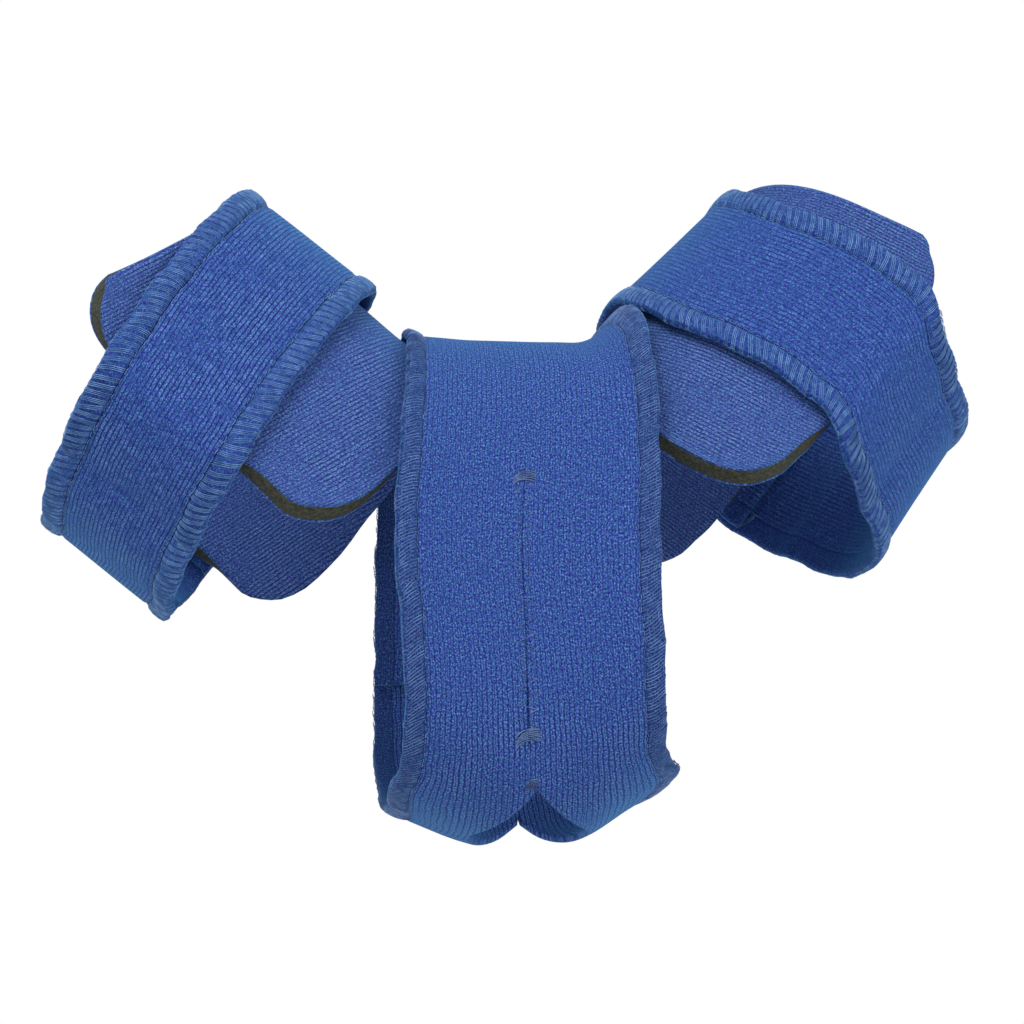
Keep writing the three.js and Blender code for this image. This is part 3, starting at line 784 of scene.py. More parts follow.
def covered_by_strap(points):
    """1 where a strap presses on the pad, 0 where the pad is free."""
    x, y = points[..., 0], points[..., 1]
    around = np.degrees(np.arcsin(np.clip(-y / (ELBOW_WIDTH / 2), -1, 1)))
    held = np.zeros(x.shape)
    for strap in (upper_arm_strap, forearm_strap):
        clear = read(strap.round, "angle", around, "clear")
        along = (points - strap.limb.start) @ strap.limb.along - elbow_strap_end(strap.limb)
        share = along / strap.width - clear
        held = np.maximum(held, (share > COVERED[0]) & (share < COVERED[1]))
    middle = read(ELBOW_STRAP_ROUND, "angle", around, "shift") * ELBOW_STRAP_WIDTH
    return np.maximum(held, np.abs(x - middle) < ELBOW_STRAP_WIDTH * ELBOW_COVER)


# %% The swell of the pad, by cloth simulation
PAD_PRESSURE = 4
SWELL_CAP = 1.2
SIMULATED_FRAMES = 20


def pad_swell():
    rest = pad_point(pad_distance, pad_share, PAD_THICKNESS)
    above = pad_point(pad_distance, pad_share, PAD_THICKNESS + 1)
    held = covered_by_strap(rest)
    held[:, :2] = held[:, -2:] = held[:2] = held[-2:] = 1
    ids = np.arange(held.size).reshape(held.shape)
    mesh = bpy.data.meshes.new("pad_trial")
    mesh.from_pydata((rest.reshape(-1, 3) * MM).tolist(), [], grid_faces(ids)[:, ::-1].tolist())
    trial = add_object("pad_trial", mesh)
    group = trial.vertex_groups.new(name="held")
    group.add(ids[held > 0].tolist(), 1, "REPLACE")
    cloth = trial.modifiers.new("cloth", "CLOTH")
    cloth.settings.vertex_group_mass = "held"
    cloth.settings.quality = 5
    cloth.settings.use_pressure = True
    cloth.settings.uniform_pressure_force = PAD_PRESSURE
    cloth.settings.effector_weights.gravity = 0
    cloth.point_cache.frame_end = SIMULATED_FRAMES
    for number in range(1, SIMULATED_FRAMES + 1):
        bpy.context.scene.frame_set(number)
    depsgraph = bpy.context.evaluated_depsgraph_get()
    moved = np.empty(held.size * 3)
    trial.evaluated_get(depsgraph).data.vertices.foreach_get("co", moved)
    bpy.context.scene.frame_set(1)
    bpy.data.objects.remove(trial)
    lift = np.sum((moved.reshape(rest.shape) / MM - rest) * (above - rest), -1)
    print("simulated lift in mm: from", round(lift.min(), 2), "to", round(lift.max(), 2))
    return SWELL_CAP * np.tanh(np.maximum(lift, 0) / SWELL_CAP)


swell = pad_swell()
print("swell kept, at most", round(float(swell.max()), 2), "mm")

# %% [markdown]
# The pad's free edge springs a little off the form and its cut leans back, so the foam shows as a
# dark band below the cloth. Under the straps the edge stays flat. The pad is cut flat and then bent
# in two directions at once, so the ribs of its knit run round each limb and lean outwards as they
# go down. Seen from the near side they are straight lines. The UV map counts them outwards from the
# crook, each way at its own slant, and holds real lengths along them.

# %% The pad's rim and its UV map
RIM_REACH = 10
RIM_LIFT = 1.6
RIM_SLANT = 0.5
RIM_PIVOT = 2
RIM_SOFTENING = 12
JUST_INSIDE = (0.97, 0.985)
UPPER_RIB_SLANT = 55
FOREARM_RIB_SLANT = 61


def softened(mask, times):
    for _ in range(times):
        wide = np.pad(mask, 1, mode="edge")
        mask = (wide[:-2, 1:-1] + wide[2:, 1:-1] + wide[1:-1, :-2] + wide[1:-1, 2:] + 4 * mask) / 8
    return mask


def lengths_from(points, start):
    """Lengths along the second axis of a grid of points, from the column start."""
    steps = np.linalg.norm(np.diff(points, axis=1), axis=-1)
    total = np.pad(np.cumsum(steps, 1), ((0, 0), (1, 0)))
    return total - total[:, start:start + 1]


pad_middle = pad_point(pad_distance, pad_share, PAD_THICKNESS / 2)
centre = PAD_COLUMNS // 2
pad_arc = lengths_from(pad_middle, centre)
crook_row = int(np.argmin(np.abs(pad_distance)))
pad_along = lengths_from(pad_middle[:, centre][None], crook_row)[0][:, None]
from_crook = pad_middle - pad_middle[crook_row, centre]
slant = np.where(pad_distance < 0, UPPER_RIB_SLANT, FOREARM_RIB_SLANT) * DEGREE
pad_ribs = np.abs(from_crook[..., 0]) * np.cos(slant) + from_crook[..., 2] * np.sin(slant)
pad_uv = np.stack((pad_ribs, pad_arc), -1).reshape(-1, 2)

to_side = np.minimum(pad_arc - pad_arc[:, :1], pad_arc[:, -1:] - pad_arc)
to_end = np.minimum(pad_along - pad_along[0], pad_along[-1] - pad_along) + 0 * pad_arc
near_side, near_end = (np.clip(1 - gap / RIM_REACH, 0, 1) ** 2 for gap in (to_side, to_end))
free = 1 - softened(covered_by_strap(pad_middle), RIM_SOFTENING)
edge = np.maximum(near_side, near_end) * free
sideways = pad_middle - pad_point(pad_distance, pad_share * JUST_INSIDE[0], PAD_THICKNESS / 2)
endways = pad_middle - pad_point(pad_distance * JUST_INSIDE[1], pad_share, PAD_THICKNESS / 2)
outward = (near_side + TINY)[..., None] * sideways + near_end[..., None] * endways
outward /= np.maximum(np.linalg.norm(outward, axis=-1, keepdims=True), NO_LENGTH)
rim_mask = np.zeros(edge.shape)
rim_mask[:, [0, -1]] = rim_mask[[0, -1]] = 1

# %% The pad's three layers
BOND = 0.06
NO_HEM = 3
EDGE_ROUNDING = 0.3
FOAM_BULGE = 0.35
FOAM_WALL_ROWS = 5


def rim_of(ids):
    """The grid's border as one closed ring."""
    return np.concatenate((ids[0, :-1], ids[:-1, -1], ids[-1, :0:-1], ids[:0:-1, 0], ids[0, :1]))


def pad_level(height, bulge=0.0):
    """The pad's grid at a height above its inside, with the rim's spring and slant."""
    lifted = pad_point(pad_distance, pad_share, height + RIM_LIFT * edge)
    push = bulge * rim_mask - RIM_SLANT * (height - RIM_PIVOT) * edge
    return (lifted + outward * push[..., None]).reshape(-1, 3)


def make_pad_layer(name, under, over, wall_rows=2, bulge=0.0, rounding=0.0):
    tops = over - rounding * rim_mask
    grids = [
        pad_level(mix(under, tops, level), bulge * math.sin(math.pi * level))
        for level in evenly(0, 1, wall_rows)
    ]
    ids = np.arange(wall_rows * edge.size).reshape(wall_rows, *edge.shape)
    walls = [wall_faces(rim_of(low), rim_of(high)) for low, high in zip(ids[:-1], ids[1:])]
    faces = np.concatenate((grid_faces(ids[0]), grid_faces(ids[-1]), *walls))
    uv = np.tile(pad_uv, (wall_rows, 1))
    return closed_mesh(name, np.concatenate(grids), faces, uv, inset=NO_HEM, relief=1)


foam_floor = LINING_THICKNESS + BOND
foam_top = PAD_THICKNESS - FACE_THICKNESS - BOND
pad_lining_piece = make_pad_layer("pad_lining_cloth", 0 * swell, 0 * swell + LINING_THICKNESS)
pad_foam_piece = make_pad_layer(
    "pad_foam_core", 0 * swell + foam_floor, foam_top + swell, FOAM_WALL_ROWS, FOAM_BULGE,
)
pad_face_piece = make_pad_layer(
    "pad_face_cloth", foam_top + BOND + swell, PAD_THICKNESS + swell, rounding=EDGE_ROUNDING,
)

# %% [markdown]
# ## Colours and the one node helper
# Colours are given as the hex values that a picture editor shows, and one function turns them into
# the linear values that Blender works in. `add` makes any shader or geometry node, with its
# settings and its links.

# %% Helpers for nodes
def linear(hex_colour):
    """Linear RGBA of an sRGB hex colour."""
    parts = [int(hex_colour[i:i + 2], 16) / 255 for i in (1, 3, 5)]
    return (*(p / 12.92 if p <= 0.04045 else ((p + 0.055) / 1.055) ** 2.4 for p in parts), 1)


def add(tree, kind, inputs=None, **settings):
    """Makes a node. An input is a value, a socket, or a node, which stands for its first output."""
    made = tree.nodes.new(kind)
    for name, value in settings.items():
        setattr(made, name, value)
    for socket, value in (inputs or {}).items():
        if isinstance(value, bpy.types.Node):
            value = value.outputs[0]
        if isinstance(value, bpy.types.NodeSocket):
            tree.links.new(value, made.inputs[socket])
        else:
            made.inputs[socket].default_value = value
    return made


def new_material(name):
    made = bpy.data.materials.new(name)
    made.use_nodes = True
    made.node_tree.nodes.clear()
    return made


def stops(ramp_node, *colours):
    """Fills a Color Ramp with (position, hex) stops."""
    ramp = ramp_node.color_ramp
    while len(ramp.elements) < len(colours):
        ramp.elements.new(1)
    for element, (position, colour) in zip(ramp.elements, colours):
        element.position = position
        element.color = linear(colour)


print("a mid blue, #29488d, in linear values:", [round(part, 3) for part in linear("#29488d")])


# %% [markdown]
# ## Ribbed knit
# The straps and the pad's faces are a weft knit of textured nylon. Knitting makes columns of loops,
# called wales, and each loop is a small V with two legs, so the cloth reads as fine ribs made of
# slanting beads. Where the cloth is stretched the ribs flatten and only the speckle of the beads is
# left. The pattern is worked out from the UV map in millimetres: the wales are 1.3 to 1.6 mm apart
# on the straps, as each is stretched, and 1.2 mm on the pad, and the loops are 0.8 mm long. Brushed
# yarn ends catch grazing light, which is what the sheen is for.
# The tone of each spot is a sum of signals, each with its own weight, and a ramp turns it to blue.
# Part of that tone is painted light: the grooves between the ribs and the gaps between the legs are
# painted darker, as painted shade, and the beads are lighter where they rise, partly as painted
# highlight and partly as the yarn's own speckle. The fibres, clouds and dye are the yarn's own tone.
# A noise on the UV map has its scale in repeats per millimetre, so 0.4 gives spots of 2.5 mm. The
# beads and the dye are counted in loops instead, so they follow the knit.

# %% A knit material
CLOTH_BUMP = 0.18
LOOP_LENGTH = 0.8
LEG_SLANT = 0.9
PATCH_SIZE = 14
DRIFT_SCALE = 0.16
CLOUD_SCALE = 0.4
FUZZ_SCALE = 3.2
BEAD_SCALE = 1.5
DYE_SCALE = 1.1
MATHS = "ShaderNodeMath"
NOISE = "ShaderNodeTexNoise"
RANGE = "ShaderNodeMapRange"


def knit(name, colours, wale, ribs, legs, beads, clouds, hem_tone_and_shade="#ffffff"):
    """Knit cloth. wale is in mm, and ribs, legs, beads and clouds say how strongly each shows."""
    made = new_material(name)
    tree = made.node_tree
    uv = add(tree, "ShaderNodeUVMap", uv_map="cloth")
    place = add(tree, "ShaderNodeTexCoord").outputs["Object"]
    inset, relief = (
        add(tree, "ShaderNodeAttribute", attribute_name=label).outputs["Fac"]
        for label in ("inset", "relief")
    )
    parts = add(tree, "ShaderNodeSeparateXYZ", {0: uv})

    # Wales and the two legs of each loop.
    drift = add(tree, NOISE, {"Vector": uv, "Scale": DRIFT_SCALE, "Detail": 2})
    sway = add(tree, MATHS, {0: drift, 1: 0.7}, operation="MULTIPLY")
    column = add(tree, MATHS, {0: parts, 1: 1 / wale, 2: sway}, operation="MULTIPLY_ADD")
    leg = add(tree, MATHS, {0: column, 1: 0.5}, operation="PINGPONG")
    half_leg = add(tree, MATHS, {0: column, 1: 0.25}, operation="PINGPONG")
    rib = add(tree, RANGE, {
        "Value": leg, "From Min": 0.02, "From Max": 0.26, "To Min": -0.72, "To Max": 0.28,
    }, interpolation_type="SMOOTHSTEP")
    gap = add(tree, RANGE, {"Value": half_leg, "From Max": 0.11}, interpolation_type="SMOOTHSTEP")

    # Beads, one for each leg, and loose fibres.
    slant = add(tree, MATHS, {0: leg, 1: LEG_SLANT}, operation="MULTIPLY")
    across = add(tree, MATHS, {0: column, 1: 2}, operation="MULTIPLY")
    along = add(tree, MATHS, {
        0: parts.outputs[1], 1: 1 / LOOP_LENGTH, 2: slant,
    }, operation="MULTIPLY_ADD")
    loops = add(tree, "ShaderNodeCombineXYZ", {0: across, 1: along})
    bead = add(tree, NOISE, {"Vector": loops, "Scale": BEAD_SCALE, "Detail": 1.5})
    fuzz = add(tree, NOISE, {"Vector": uv, "Scale": FUZZ_SCALE, "Detail": 2})
    cloud = add(tree, NOISE, {"Vector": uv, "Scale": CLOUD_SCALE, "Detail": 2})

    # Ribs come and go in soft patches, and end where the hem begins.
    patch = add(tree, NOISE, {"Vector": place, "Scale": 1 / (PATCH_SIZE * MM), "Detail": 2})
    in_cloth = add(tree, RANGE, {"Value": inset, "From Min": 0.96, "From Max": 1.07})
    strong = add(tree, RANGE, {
        "Value": patch, "From Min": 0.35, "From Max": 0.65, "To Min": 0.35 * ribs, "To Max": ribs,
    })
    unstretched = add(tree, MATHS, {0: strong, 1: in_cloth}, operation="MULTIPLY")
    ribbing = add(tree, MATHS, {0: unstretched, 1: relief}, operation="MULTIPLY")
    # The needle line along the hem's groove is painted darker, as painted shade in the groove.
    needle = add(tree, MATHS, {0: inset, 1: 1.03, 2: 0.04}, operation="COMPARE")

    # Painted shade and highlight: rib and gap darken the grooves and the gaps between the legs, and bead
    # lightens the tone where the bump lifts the cloth.
    signals = ((gap, legs, 0.8), (bead, 1.3 * beads, 0.5), (fuzz, 0.9 * beads, 0.5), (cloud, clouds, 0.5))
    level = 0.5 - sum(weight * usual for _, weight, usual in signals)
    tone = add(tree, MATHS, {0: rib, 1: ribbing, 2: level}, operation="MULTIPLY_ADD")
    for signal, weight, _ in (*signals, (needle, -0.25, 0)):
        tone = add(tree, MATHS, {0: signal, 1: weight, 2: tone}, operation="MULTIPLY_ADD")
    ramp = add(tree, "ShaderNodeValToRGB", {0: tone})
    stops(ramp, *colours)
    dye = add(tree, NOISE, {"Vector": loops, "Scale": DYE_SCALE, "Detail": 0})
    hue = add(tree, RANGE, {
        "Value": dye, "From Min": 0.3, "From Max": 0.7, "To Min": 0.478, "To Max": 0.526,
    })
    tinted = add(tree, "ShaderNodeHueSaturation", {"Hue": hue, "Color": ramp})
    # The hem's cloth is multiplied by a pale grey: partly the hem's greyer tone, partly painted shade
    # under and between the overlock threads.
    shaded = add(
        tree, "ShaderNodeMix", {0: in_cloth, 6: linear(hem_tone_and_shade), 7: (1, 1, 1, 1)}, data_type="RGBA",
    )
    coloured = add(
        tree, "ShaderNodeMix", {0: 1, 6: tinted, 7: shaded.outputs[2]},
        data_type="RGBA", blend_type="MULTIPLY",
    )

    beads_up = add(tree, MATHS, {0: bead, 1: 1.1 * beads}, operation="MULTIPLY")
    height = add(tree, MATHS, {0: rib, 1: ribbing, 2: beads_up}, operation="MULTIPLY_ADD")
    bump = add(tree, "ShaderNodeBump", {"Height": height, "Distance": CLOTH_BUMP * MM, "Strength": 0.9})
    surface = add(tree, "ShaderNodeBsdfPrincipled", {
        "Base Color": coloured.outputs[2], "Normal": bump, "Roughness": 0.85, "IOR": 1.5,
        "Specular IOR Level": 0.2, "Sheen Weight": 0.5, "Sheen Roughness": 0.45,
        "Sheen Tint": linear("#3c9ad0"),
    })
    add(tree, "ShaderNodeOutputMaterial", {0: surface})
    return made


# The dark end of each ramp is partly painted shade for the grooves, and the light end partly painted
# highlight for the raised beads.
STRAP_BLUES = ((0.1, "#0d1a4e"), (0.38, "#1a3676"), (0.62, "#29488d"), (0.95, "#5e82bc"))
PAD_BLUES = ((0.1, "#121e50"), (0.38, "#253d79"), (0.62, "#344f8e"), (0.95, "#6686ba"))
upper_knit = knit(
    "ribbed nylon knit", STRAP_BLUES, 1.3, ribs=0.6, legs=0.06, beads=1, clouds=0.5, hem_tone_and_shade="#f0f5f8",
)
forearm_knit = knit(
    "ribbed nylon knit, pulled wide", STRAP_BLUES, 1.6,
    ribs=0.38, legs=0.04, beads=0.9, clouds=0.4, hem_tone_and_shade="#f0f5f8",
)
elbow_knit = knit(
    "ribbed nylon knit, stretched", STRAP_BLUES, 1.53,
    ribs=0.28, legs=0.18, beads=1.35, clouds=0.15, hem_tone_and_shade="#d6dcdc",
)
pad_knit = knit("fine nylon knit", PAD_BLUES, 1.2, ribs=0.5, legs=0, beads=1.2, clouds=0.3)
print("knits:", upper_knit.name, "/", forearm_knit.name, "/", elbow_knit.name, "/", pad_knit.name)

# %% [markdown]
# ## Foam, thread and hook tape
# The core is closed-cell neoprene foam. Its cut edge shows the cells as tiny pits, which are painted
# darker as painted shade, and has a dull olive grey. The thread is textured polyester, which is why
# it looks soft and greyer than the cloth. Its plies turn once in 0.8 mm, with faint painted shade
# between them, and it sinks between the loops of the cloth every 3 mm or so, where it is painted
# darker as painted shade. The hook tape is woven nylon, dark and slightly glossy, with its hooks in
# rows, and the gaps of its weave are painted darker as painted shade.
# Here a noise reads Object coordinates, which are metres, so 900 gives grains of about 1 mm.

# %% Materials for foam, thread and hook tape
FOAM_CELL = 0.7
PLY_LENGTH = 0.8
FINE_GRAIN = 900
SUNK_SHADE_GRAIN = 330
TAPE_ROWS = ((0.33, "X"), (0.5, "Y"))


def closed_cell_foam():
    made = new_material("closed cell neoprene foam")
    tree = made.node_tree
    place = add(tree, "ShaderNodeTexCoord").outputs["Object"]
    cells = add(tree, "ShaderNodeTexVoronoi", {"Vector": place, "Scale": 1 / (FOAM_CELL * MM)})
    grain = add(tree, NOISE, {"Vector": place, "Scale": FINE_GRAIN, "Detail": 4})
    both = add(tree, MATHS, {0: cells, 1: 0.5, 2: grain}, operation="MULTIPLY_ADD")
    # The ramp paints the cells' pits darker, as painted shade, with the same values that the bump sinks.
    ramp = add(tree, "ShaderNodeValToRGB", {0: both})
    stops(ramp, (0.35, "#181a15"), (0.62, "#2a2c24"), (0.95, "#404337"))
    bump = add(tree, "ShaderNodeBump", {"Height": both, "Distance": 0.25 * MM, "Strength": 0.6})
    surface = add(tree, "ShaderNodeBsdfPrincipled", {
        "Base Color": ramp, "Normal": bump, "Roughness": 0.9, "Specular IOR Level": 0.3,
    })
    add(tree, "ShaderNodeOutputMaterial", {0: surface})
    return made


def thread(name, dark, light):
    """Thread, painted darker in patches, as painted shade where it sinks between the loops of the cloth,
    and with painted shade between its plies.
    """
    made = new_material(name)
    tree = made.node_tree
    along = add(tree, "ShaderNodeAttribute", attribute_name="ply").outputs["Fac"]
    place = add(tree, "ShaderNodeTexCoord").outputs["Object"]
    twist = add(tree, MATHS, {0: along, 1: 2 * math.pi / (PLY_LENGTH * MM)}, operation="MULTIPLY")
    ply = add(tree, MATHS, {0: twist}, operation="SINE")
    fuzz = add(tree, NOISE, {"Vector": place, "Scale": FINE_GRAIN, "Detail": 2})
    # Where this noise is low the thread is painted darker, as painted shade where it sinks between the
    # loops.
    sunk = add(tree, NOISE, {"Vector": place, "Scale": SUNK_SHADE_GRAIN, "Detail": 1})
    # The ply's twist adds faint painted shade between the plies.
    ply_shade = add(tree, MATHS, {0: ply, 1: 0.06, 2: -0.6}, operation="MULTIPLY_ADD")
    fuzzy = add(tree, MATHS, {0: fuzz, 1: 0.8, 2: ply_shade}, operation="MULTIPLY_ADD")
    shown = add(tree, MATHS, {0: sunk, 1: 1.2, 2: fuzzy}, operation="MULTIPLY_ADD")
    ramp = add(tree, "ShaderNodeValToRGB", {0: shown})
    stops(ramp, (0.2, dark), (0.8, light))
    surface = add(tree, "ShaderNodeBsdfPrincipled", {
        "Base Color": ramp, "Roughness": 0.6, "Specular IOR Level": 0.4,
        "Sheen Weight": 0.15, "Sheen Roughness": 0.4, "Sheen Tint": linear("#8fb4d0"),
    })
    add(tree, "ShaderNodeOutputMaterial", {0: surface})
    return made


def hook_tape():
    made = new_material("woven nylon hook tape")
    tree = made.node_tree
    uv = add(tree, "ShaderNodeUVMap", uv_map="cloth").outputs[0]
    rows, picks = (
        add(tree, "ShaderNodeTexWave", {
            "Vector": uv, "Scale": scale, "Distortion": 0.4,
        }, bands_direction=direction).outputs["Fac"]
        for scale, direction in TAPE_ROWS
    )
    weave = add(tree, MATHS, {0: rows, 1: picks}, operation="MULTIPLY")
    # The ramp paints the gaps between rows and picks darker, as painted shade, where the bump sinks the
    # weave.
    ramp = add(tree, "ShaderNodeValToRGB", {0: weave})
    stops(ramp, (0, "#0d1530"), (0.6, "#1b2b5c"), (1, "#33508f"))
    bump = add(tree, "ShaderNodeBump", {"Height": weave, "Distance": 0.3 * MM, "Strength": 0.7})
    surface = add(tree, "ShaderNodeBsdfPrincipled", {
        "Base Color": ramp, "Normal": bump, "Roughness": 0.55, "IOR": 1.53,
    })
    add(tree, "ShaderNodeOutputMaterial", {0: surface})
    return made


foam = closed_cell_foam()
hem_thread = thread("textured polyester thread", "#345a92", "#7099c8")
elbow_thread = thread("textured polyester thread, pulled flat", "#2e4881", "#6a8abb")
seam_thread = thread("polyester sewing thread", "#32477a", "#6882ae")
hook_nylon = hook_tape()
for piece, material in (
    (upper_strap_piece, upper_knit), (forearm_strap_piece, forearm_knit),
    (elbow_strap_piece, elbow_knit), (pad_lining_piece, pad_knit),
    (pad_foam_piece, foam), (pad_face_piece, pad_knit),
):
    piece.data.materials.append(material)
print("materials:", ", ".join(material.name for material in bpy.data.materials))

# %% [markdown]
# ## Stitches by Geometry Nodes
# An overlocked hem repeats one stitch hundreds of times, so one small tree makes every row of
# stitches on the brace. Its guide is a line on the cloth that knows, at each point, which way is off
# the cloth and which way is in from the edge. The tree spaces points along the guide at the
# stitch's real pitch, sweeps the stitch's lines into thread, sets a copy at each point and turns it
# with those two directions. The second one is as long as the cloth is stretched there, and the
# stitch is stretched with it.
# A stitch is straight where the cloth may curve, so `guide_on` looks at the cloth on both sides, as
# far as the stitch reaches, and lays the guide halfway between the cloth and that chord.

# %% The stitch tree
def make_stitch_tree():
    tree = bpy.data.node_groups.new("stitch row", "GeometryNodeTree")
    sockets = (
        ("Guide", "NodeSocketGeometry"), ("Stitch", "NodeSocketObject"), ("Pitch", "NodeSocketFloat"),
        ("Thread radius", "NodeSocketFloat"), ("Wander", "NodeSocketFloat"), ("Seed", "NodeSocketInt"),
        ("Thread", "NodeSocketMaterial"),
    )
    for name, kind in sockets:
        tree.interface.new_socket(name, in_out="INPUT", socket_type=kind)
    tree.interface.new_socket("Stitches", in_out="OUTPUT", socket_type="NodeSocketGeometry")
    given = add(tree, "NodeGroupInput").outputs
    guide = add(tree, "GeometryNodeMeshToCurve", {0: given["Guide"]})
    spaced = add(tree, "GeometryNodeResampleCurve", {
        "Curve": guide, "Length": given["Pitch"],
    }, mode="LENGTH")
    lines = add(tree, "GeometryNodeObjectInfo", {"Object": given["Stitch"]})
    stitch = add(tree, "GeometryNodeMeshToCurve", {0: lines.outputs["Geometry"]})
    length = add(tree, "GeometryNodeSplineParameter").outputs["Length"]
    marked = add(tree, "GeometryNodeStoreNamedAttribute", {
        "Geometry": stitch, "Name": "ply", "Value": length,
    })
    section = add(tree, "GeometryNodeCurvePrimitiveCircle", {
        "Resolution": 4, "Radius": given["Thread radius"],
    })
    swept = add(tree, "GeometryNodeCurveToMesh", {
        "Curve": marked, "Profile Curve": section, "Fill Caps": True,
    })
    off_cloth, inward = (
        add(tree, "GeometryNodeInputNamedAttribute", {"Name": name}, data_type="FLOAT_VECTOR")
        for name in ("off_cloth", "inward")
    )
    facing = add(
        tree, "FunctionNodeAxesToRotation", {"Primary Axis": off_cloth, "Secondary Axis": inward},
        primary_axis="Z", secondary_axis="X",
    )
    least = add(tree, MATHS, {0: given["Wander"], 1: -1}, operation="MULTIPLY")
    angle = add(tree, "FunctionNodeRandomValue", {
        2: least, 3: given["Wander"], "Seed": given["Seed"],
    }, data_type="FLOAT").outputs[1]
    about_z = add(tree, "FunctionNodeAxisAngleToRotation", {"Axis": (0, 0, 1), "Angle": angle})
    turned = add(tree, "FunctionNodeRotateRotation", {0: facing, 1: about_z}, rotation_space="LOCAL")
    stretch = add(tree, "ShaderNodeVectorMath", {0: inward}, operation="LENGTH").outputs["Value"]
    scale = add(tree, "ShaderNodeCombineXYZ", {0: stretch, 1: 1, 2: 1})
    copies = add(tree, "GeometryNodeInstanceOnPoints", {
        "Points": spaced, "Instance": swept, "Rotation": turned, "Scale": scale,
    })
    real = add(tree, "GeometryNodeRealizeInstances", {0: copies})
    coloured = add(tree, "GeometryNodeSetMaterial", {"Geometry": real, "Material": given["Thread"]})
    add(tree, "NodeGroupOutput", {0: coloured})
    return tree


stitch_tree = make_stitch_tree()
print("the stitch tree has", len(stitch_tree.nodes), "nodes")


def line_object(name, lines, vectors=None):
    """An object of loose edges, one chain for each line of points."""
    points = np.concatenate(lines)
    starts = np.cumsum([0] + [len(line) for line in lines])
    edges = [(i, i + 1) for a, b in zip(starts[:-1], starts[1:]) for i in range(a, b - 1)]
    mesh = bpy.data.meshes.new(name)
    mesh.from_pydata((points * MM).tolist(), edges, [])
    for label, values in (vectors or {}).items():
        data = mesh.attributes.new(label, "FLOAT_VECTOR", "POINT").data
        data.foreach_set("vector", np.concatenate(values).astype(np.float32).ravel())
    return add_object(name, mesh)


def sew(name, guides, stitch_lines, pitch, radius, material, wander=0.05, seed=3):
    """Turns guide lines, each with its points and two directions, into one piece of stitches."""
    guide = line_object(name + "_guide", [g[0] for g in guides], {
        "off_cloth": [g[1] for g in guides], "inward": [g[2] for g in guides],
    })
    stitch = line_object(name + "_stitch", [np.array(line, float) for line in stitch_lines])
    modifier = guide.modifiers.new("stitches", "NODES")
    modifier.node_group = stitch_tree
    values = {
        "Stitch": stitch, "Pitch": pitch * MM, "Thread radius": radius * MM, "Wander": wander,
        "Seed": seed, "Thread": material,
    }
    for socket in stitch_tree.interface.items_tree:
        if socket.in_out == "INPUT" and socket.name in values:
            modifier[socket.identifier] = values[socket.name]
    depsgraph = bpy.context.evaluated_depsgraph_get()
    mesh = bpy.data.meshes.new_from_object(guide.evaluated_get(depsgraph), depsgraph=depsgraph)
    mesh.name = name
    mesh.shade_smooth()
    for helper in (guide, stitch):
        bpy.data.objects.remove(helper)
    mesh.calc_loop_triangles()
    print(name, len(mesh.loop_triangles), "triangles")
    return add_object(name, mesh)


def guide_on(strap, turns, across, side=0, height=0.0, reach=0.5):
    """A guide line with its two directions. side is 0 or 1, the hem behind it, and reach is how far
    the stitches go to each side."""
    step = reach / strap.width * (1 - 2 * side)
    here = strap_point(strap, turns, across, height)
    above = strap_point(strap, turns, across, height + 1) - here
    ahead, behind = (strap_point(strap, turns + s, across, height) for s in (DEGREE, -DEGREE))
    along = (ahead - behind) / np.linalg.norm(ahead - behind, axis=-1, keepdims=True)
    inner, outer = (strap_point(strap, turns, across + s, height) for s in (step, -step))
    inward = (inner - outer) / (2 * reach)
    inward = inward - np.sum(inward * along, -1, keepdims=True) * along
    off_cloth = np.cross(inward, along)
    facing = np.sign(np.sum(off_cloth * above, -1, keepdims=True))
    return (inner + outer + 2 * here) / 4, off_cloth * facing, inward


# %% [markdown]
# ## Overlocked hems
# One overlock stitch has threads that cross the rolled edge at a slant, a needle thread that dips
# into the groove, and a looper thread that runs along the very edge. The lines below draw one
# stitch in the hem's section, in millimetres from the hem's middle, and the tree repeats it along
# both hems of each strap. The thread is drawn 0.24 mm thick. That is a guess, because a pixel of
# the photograph covers 0.3 mm of the brace.

# %% Stitches of the hems
THREAD_RADIUS = 0.12
CROSSING_SPREAD = 0.46
THREAD_LIFT = 0.07
GROOVE_AT = 0.99
NEEDLE_AT = 1.06
HEM_GUIDE_STEP = 1.0
STITCH_WANDER = 0.12


def overlock_lines(strap):
    middle = strap.hem / 2
    lines = []
    for thread_number in range(strap.threads):
        beside = (thread_number / (strap.threads - 1) - 0.5) * CROSSING_SPREAD * strap.pitch
        line = []
        for share in (GROOVE_AT, 0.88, 0.62, 0.33, 0.1, 0):
            lean = strap.lean * (share - 0.5) * strap.hem
            bow = math.sin(math.pi * share) * 0.35
            height = float(hem_height(strap, "over", share)) + THREAD_LIFT
            line.append((share * strap.hem - middle, beside + lean + bow, height))
        nose = float(hem_height(strap, "under", 0)) + 0.3
        line.append((-middle - THREAD_LIFT, beside - strap.lean * middle, nose))
        lines.append(line)
    groove = float(hem_height(strap, "over", NEEDLE_AT)) + 0.15
    needle_x = NEEDLE_AT * strap.hem - middle
    needle_y = strap.lean * middle
    lines.append([
        (needle_x, needle_y + share * strap.pitch, groove + rise)
        for share, rise in ((-0.42, -0.3), (-0.2, 0.12), (0.2, 0.12), (0.42, -0.3))
    ])
    edge_x, edge_y = -middle - 0.06, -strap.lean * middle
    lines.append([
        (edge_x, edge_y + share * strap.pitch, 0.65 * STRAP_THICKNESS + rise)
        for share, rise in ((-0.52, -0.25), (0, 0.45), (0.52, -0.25))
    ])
    return lines


